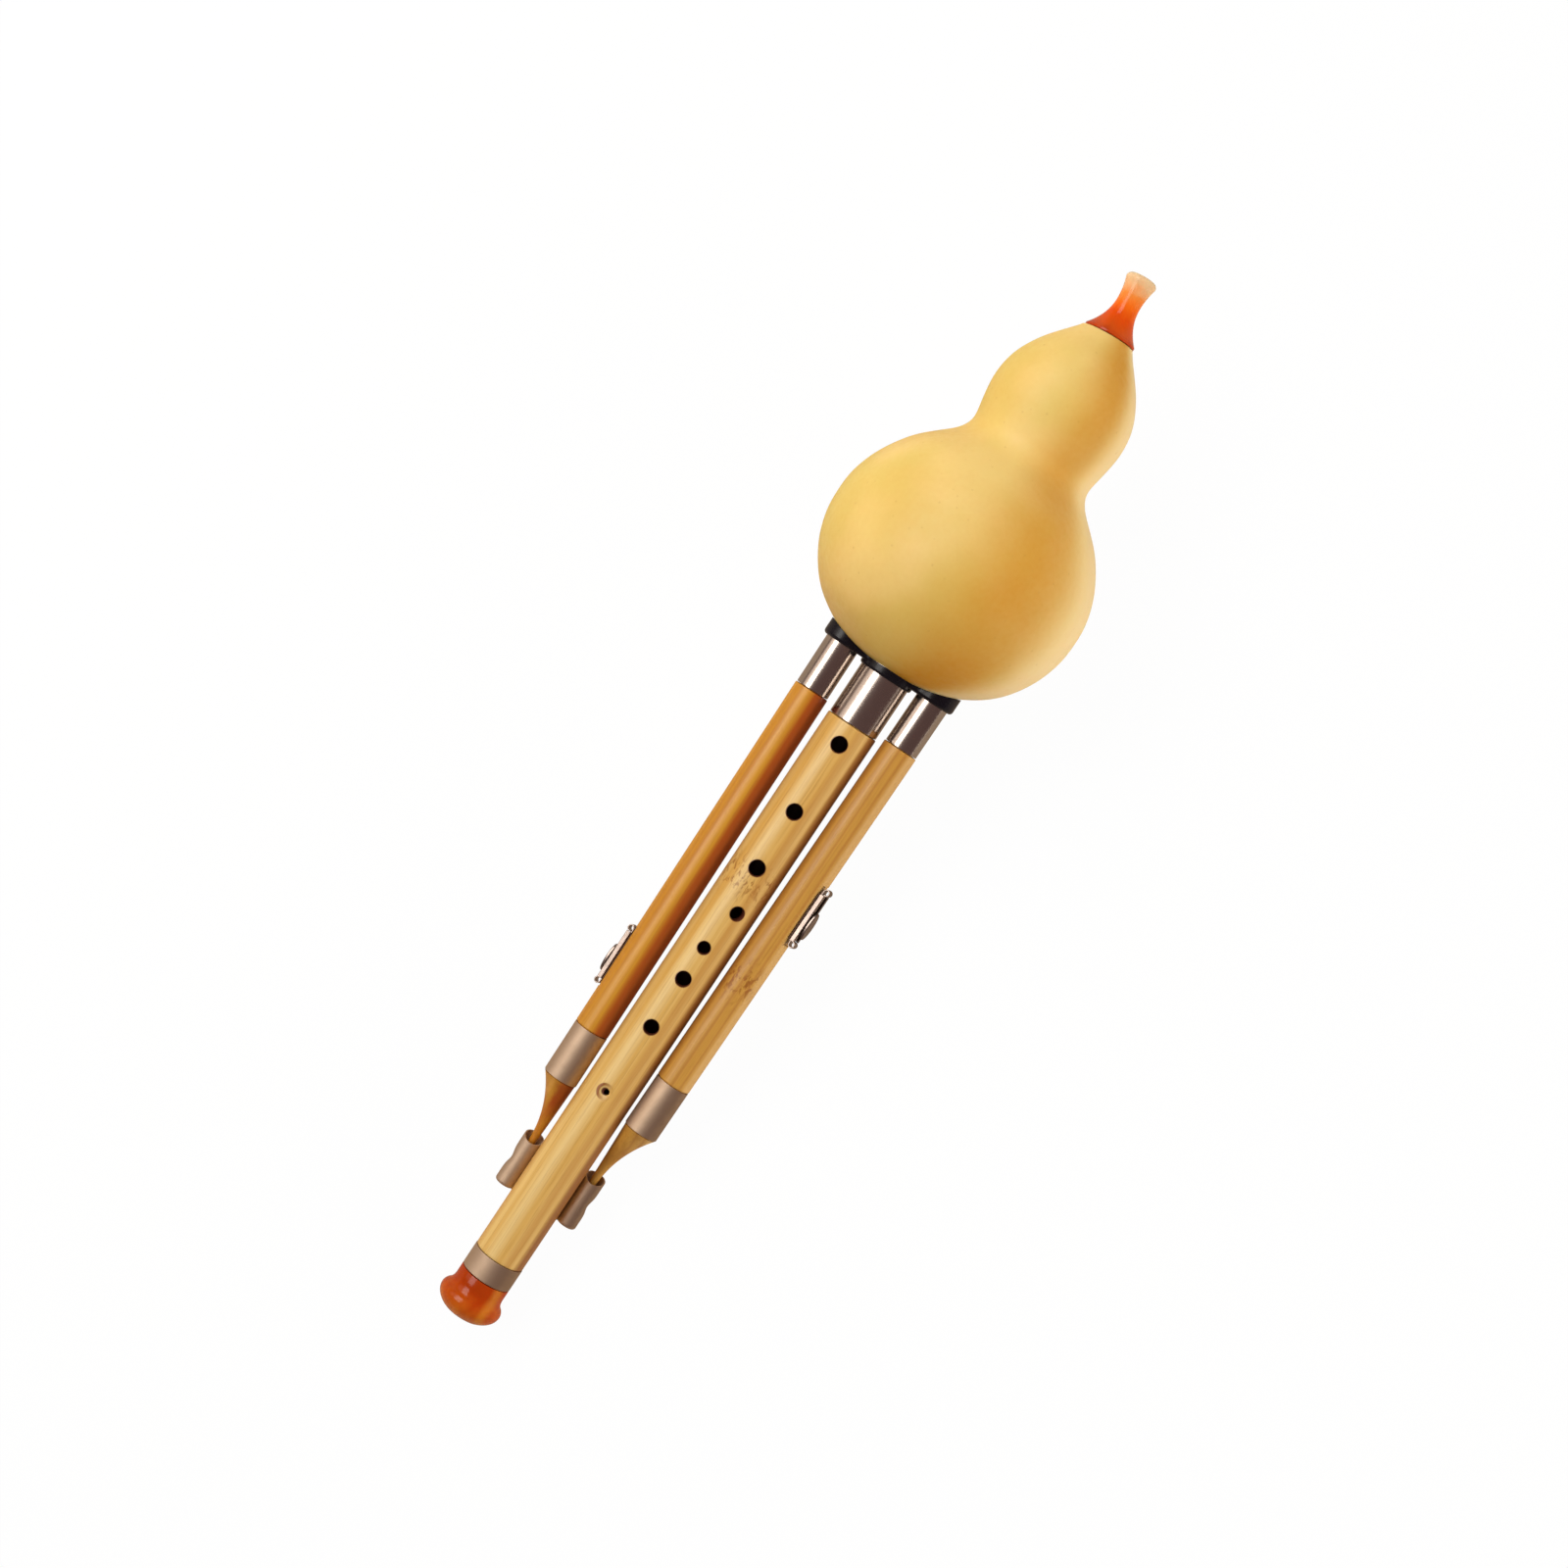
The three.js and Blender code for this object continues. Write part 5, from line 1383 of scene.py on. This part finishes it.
class HULUSI_OT_keys(bpy.types.Operator):
    """Key plates with inturned lips and rolled ends, and their sliders with oval knobs"""
    bl_idname = "hulusi.keys"
    bl_label = "Slide keys"

    def execute(self, context):
        key = sizes("key")
        nickel = nickel_finish("handled")
        half = channel_half()
        slider_half, rail, stem_half, stem_reach = 2.2, 0.4, 1.2, 2.8
        edge, rim, dish, knob_height = 0.3, 0.9, 0.4, 1.05
        inside = slider_half + SEAT_GAP
        outside, slot = inside + rail, stem_half + SEAT_GAP
        for word, side in SIDES.items():
            _, low, tongue, lip, knob_low = key_levels(word)
            place = drone_place(side) @ key_place(word)
            face, lip_top = low + SHEET, lip + LIP
            upper = [(face, inside, 0), (lip, inside, 0), (lip, slot, 0.12),
                     (lip_top, slot, 0.12), (lip_top, outside, 0.3), (low, outside, 0.3)]
            lower = [(x, -y, fillet) for x, y, fillet in reversed(upper)]
            section = rounded(lower + upper, steps=3)
            plate = worked(extruded(section, half, 0.15), [key_strip(low)], "UNION")
            holes = [sideways_rod(HOLE_RADIUS, 0, face + 0.3, sound_hole_height())]
            for nail_share in (0.27, -0.12):
                height = nail_share * key.length
                holes += [sideways_rod(1.25, face - 0.2, face + 0.3, height, 24),
                          sideways_rod(0.75, 0, face, height, 24)]
            settle(f"{word}_key_plate", worked(plate, holes), f"{word}_drone",
                   nickel, place, sharp=30)
            top = knob_low + knob_height
            line = [Vector((0, knob_low))]
            line += rounded([
                (1, knob_low, 0), (key.knob_width, knob_low, edge),
                (key.knob_width, top, edge + 0.1), (key.knob_width - rim, top, 0.3),
                (0.6, top - dish, 0)], closed=False)
            line.append(Vector((0, top - dish)))
            knob = moved(lathe(line, 72, closed=False), Matrix.Rotation(math.pi / 2, 4, "Y"))
            knob = moved(knob, Matrix.Scale(key.knob / key.knob_width, 4, (0, 0, 1)))
            reach = half - SEAT_GAP - key.travel / 2
            section = strip_section(slider_half, SHEET, 0.12)
            runner = extruded(section, reach, 0.1, tongue + SHEET / 2)
            stem = block((tongue + 0.1, -stem_half, -stem_reach),
                         (knob_low + 0.3, stem_half, stem_reach))
            slider = worked(runner, [stem, knob], "UNION")
            slider = moved(slider, Matrix.Translation((0, 0, -key.travel / 2)))
            settle(f"{word}_key_slider", slider, f"{word}_key", nickel,
                   place, sharp=35)
        return {"FINISHED"}


# ---------------------------------------------------------------- lappings and reeds
def wound_thread(tree, given):
    """One thread wound round a spigot, turn beside turn."""
    path = add(tree, "GeometryNodeCurveSpiral", 40, given["Turns"], given["Radius"],
               given["Radius"], given["Length"])
    half = add(tree, "ShaderNodeMath", given["Thread"], 0.5, operation="MULTIPLY")
    section = add(tree, "GeometryNodeCurvePrimitiveCircle", Resolution=8, Radius=half)
    return add(tree, "GeometryNodeCurveToMesh", Curve=path, Profile_Curve=section,
               Fill_Caps=True)


class HULUSI_OT_reeds(bpy.types.Operator):
    """Thread lappings, and the finishes of the reeds, plugs, nails and gaskets"""
    bl_idname = "hulusi.reeds"
    bl_label = "Lappings and reeds"

    def execute(self, context):
        reed = sizes("reed")
        # Grains of about 0.4 to 0.7 mm, drawn out along the metal's rolling and the wood
        cotton = grain_finish("waxed_cotton_thread", reed.cotton, 0.72, 2.5, 0.7, 0.9)
        brass = grain_finish("rolled_brass_sheet", reed.brass, 0.7, 1.8, 0.24, 0.4, 1,
                             (1, 0.1, 1))
        raw = grain_finish("thin_raw_bamboo", reed.raw, 0.66, 2, 0.5, 0.7, 0, (1, 0.05, 1))
        plug = grain_finish("turned_hardwood", reed.plug, 0.55, 1.5, 0.45, 0.65, 0, (1, 0.1, 1))
        hide = grain_finish("oiled_leather", reed.hide, 0.6, 1.4, 0.6, 0.85)
        # Each lapping: place, body, spigot with its room, bottom, length and thread
        places = {"main": (Matrix(), "melody_pipe", 7.9, PIPE_HEAD + 5, 18, reed.thread)}
        for word, side in SIDES.items():
            places[word] = (drone_place(side), f"{word}_drone", 4.8, 4.7, 15, 0.5)
            dress_node(f"{word}_key_gasket", hide)
            dress_node(f"{word}_key_nail_upper", brass)
            dress_node(f"{word}_key_nail_lower", brass)
        gap = 0.01
        for word, (place, body, inner, bottom, reach, thread) in places.items():
            winding = grown(f"{word}_wound_thread", {
                "Radius": inner + thread / 2, "Thread": thread, "Length": reach - thread,
                "Turns": (reach - thread) / (thread + gap),
            }, wound_thread, cotton)
            winding = moved(winding, Matrix.Translation((0, 0, bottom + thread / 2)))
            settle(f"{word}_lapping", winding, body, cotton, place)
            dress_node(f"{word}_reed_tube", raw)
            dress_node(f"{word}_reed", brass)
            dress_node(f"{word}_reed_plug", plug)
        return {"FINISHED"}


# ---------------------------------------------------------------- stage
# Each lamp: its power's name, turn and rise in degrees, distance, width and height in metres,
# colour, and whether it shows in highlights
LAMPS = {
    "key_softbox": ("key", -37, 14, 1.3, 0.62, 1.5, "FFFCF7", True),
    "side_panel": ("side", -63, 12, 1.3, 0.5, 1.1, "FFEEDC", True),
    "fill_panel": ("fill", 78, 6, 1.2, 0.5, 1.3, "FFFAF4", False),
    "rim_strip": ("rim", 86, 6, 1.2, 0.03, 1.3, "FFFAF4", True),
}
WHITE = (1, 1, 1, 1)


def soft_light(name, place, aim, width, height, power, colour, mirrored):
    """A panel that lights the object unseen. One that isn't mirrored gives no highlights."""
    lamp = bpy.data.lights.new(name, "AREA")
    lamp.shape = "RECTANGLE"
    lamp.size, lamp.size_y = width, height
    lamp.energy = power
    lamp.color = linear(colour)[:3]
    holder = placed(name, lamp)
    away = (place - aim).normalized()
    upward = UPRIGHT.to_3x3() @ Vector((0, 0, 1))
    across = upward.cross(away).normalized()
    square = Matrix((across, away.cross(across), away)).transposed().to_4x4()
    holder.matrix_world = Matrix.Translation(place) @ square
    holder.visible_camera = False
    holder.visible_glossy = mirrored


def floor_finish(stage):
    """Plain floor: white for the camera, grey in reflections, and it keeps a faint shadow."""
    material = bpy.data.materials.new("plain_pale_floor")
    tree = emptied(material)
    spot = add(tree, "ShaderNodeTexCoord").outputs["Object"]
    fleck = add(tree, "ShaderNodeTexNoise", Vector=spot, Scale=6, Detail=2)
    tone = add(tree, "ShaderNodeMix", fleck, stage.floor, shade(stage.floor, 1.03),
               data_type="RGBA")
    matt = add(tree, "ShaderNodeBsdfDiffuse", tone)
    path = add(tree, "ShaderNodeLightPath").outputs
    # For the camera 97 parts in 100 are plain white, and the lit floor is the rest
    lift = add(tree, "ShaderNodeMath", path["Is Camera Ray"], 0.97, operation="MULTIPLY")
    glow = add(tree, "ShaderNodeEmission", WHITE, 1)
    white = add(tree, "ShaderNodeMixShader", lift, matt, glow)
    mirrored = add(tree, "ShaderNodeMath", path["Is Glossy Ray"], path["Is Transmission Ray"],
                   operation="MAXIMUM")
    # In the metal's reflections 82 parts in 100 are a warm grey, as in a dim room
    dim = add(tree, "ShaderNodeMath", mirrored, 0.82, operation="MULTIPLY")
    grey = add(tree, "ShaderNodeEmission", linear("A88E74"), 1)
    both = add(tree, "ShaderNodeMixShader", dim, white, grey)
    add(tree, "ShaderNodeOutputMaterial", both)
    return material


def room(stage):
    """Studio: white for the camera, dark overhead in reflections, an even dim light elsewhere."""
    world = bpy.data.worlds.new("studio")
    bpy.context.scene.world = world
    tree = emptied(world)
    path = add(tree, "ShaderNodeLightPath").outputs
    coordinate = add(tree, "ShaderNodeTexCoord").outputs["Generated"]
    axes = add(tree, "ShaderNodeSeparateXYZ", coordinate).outputs
    height = add(tree, "ShaderNodeMapRange", axes[2], 0, 0.12, 1, 0)
    mirrored = add(tree, "ShaderNodeMix", height, linear("6A5452"), linear("B8A898"),
                   data_type="RGBA")
    reflection = add(tree, "ShaderNodeBackground", mirrored, 1)
    even = add(tree, "ShaderNodeBackground", linear("FFFDFA"), stage.room)
    white = add(tree, "ShaderNodeBackground", WHITE, 1)
    glossy = add(tree, "ShaderNodeMath", path["Is Glossy Ray"], path["Is Transmission Ray"],
                 operation="MAXIMUM")
    lit = add(tree, "ShaderNodeMixShader", glossy, even, reflection)
    shown = add(tree, "ShaderNodeMixShader", path["Is Camera Ray"], lit, white)
    add(tree, "ShaderNodeOutputWorld", shown)


class HULUSI_OT_stage(bpy.types.Operator):
    """Plain floor, studio light and the camera at the photograph's angle"""
    bl_idname = "hulusi.stage"
    bl_label = "Stage"

    def execute(self, context):
        stage = sizes("stage")
        scene = context.scene
        scene.view_settings.view_transform = "Standard"
        turned = UPRIGHT.to_quaternion().to_matrix()
        away = outlook(stage.yaw, stage.pitch)
        flat = Vector((math.cos(stage.yaw), math.sin(stage.yaw), 0))
        steep = away.cross(flat)
        right = flat * math.cos(stage.roll) + steep * math.sin(stage.roll)
        over = steep * math.cos(stage.roll) - flat * math.sin(stage.roll)
        middle = Vector((0, 0, 209))
        spot = middle + away * stage.distance - right * stage.aside + over * stage.below
        lens = bpy.data.cameras.new("photo_view")
        lens.lens, lens.sensor_width, lens.clip_end = stage.lens, 36, 100
        camera = placed("photo_view", lens)
        facing = Matrix([turned @ v for v in (right, over, away)]).transposed().to_4x4()
        camera.matrix_world = Matrix.Translation(UPRIGHT @ spot) @ facing
        scene.camera = camera
        aim = UPRIGHT @ Vector((0, 0, 230))
        for name, (power, turn, rise, distance, width, height, *look) in LAMPS.items():
            way = outlook(math.radians(turn), math.radians(rise))
            place = aim + (turned @ way) * distance
            soft_light(name, place, aim, width, height, getattr(stage, power), *look)
        size, drop = 12, -0.0002
        corners = [(-size, -size, drop), (size, -size, drop), (size, size, drop),
                   (-size, size, drop)]
        floor = placed("floor", mesh_of(corners, [(0, 1, 2, 3)]))
        floor.data.materials.append(floor_finish(stage))
        room(stage)
        return {"FINISHED"}


# ---------------------------------------------------------------- panel
OPERATORS = [
    HULUSI_OT_gourd, HULUSI_OT_mouthpiece, HULUSI_OT_base, HULUSI_OT_melody_pipe,
    HULUSI_OT_bell, HULUSI_OT_tail_clip, HULUSI_OT_drones, HULUSI_OT_tails, HULUSI_OT_keys,
    HULUSI_OT_reeds, HULUSI_OT_stage,
]


class HULUSI_PT_panel(bpy.types.Panel):
    """Lists the pieces in the order in which they are made"""
    bl_idname = "HULUSI_PT_panel"
    bl_label = "Hulusi"
    bl_space_type = "VIEW_3D"
    bl_region_type = "UI"
    bl_category = "Hulusi"

    def draw(self, context):
        for operator in OPERATORS:
            self.layout.operator(operator.bl_idname)
        for name in GROUPS:
            box = self.layout.box()
            group = getattr(context.scene, name)
            for prop in group.bl_rna.properties.keys():
                if prop not in ("rna_type", "name"):
                    box.prop(group, prop)


def register():
    for name, group in GROUPS.items():
        bpy.utils.register_class(group)
        setattr(bpy.types.Scene, name, bpy.props.PointerProperty(type=group))
    for kind in OPERATORS + [HULUSI_PT_panel]:
        bpy.utils.register_class(kind)


def unregister():
    for kind in reversed(OPERATORS + [HULUSI_PT_panel]):
        bpy.utils.unregister_class(kind)
    for name, group in GROUPS.items():
        delattr(bpy.types.Scene, name)
        bpy.utils.unregister_class(group)


def main():
    register()
    for operator in OPERATORS:
        family, name = operator.bl_idname.split(".")
        getattr(getattr(bpy.ops, family), name)()


if __name__ == "__main__":
    main()
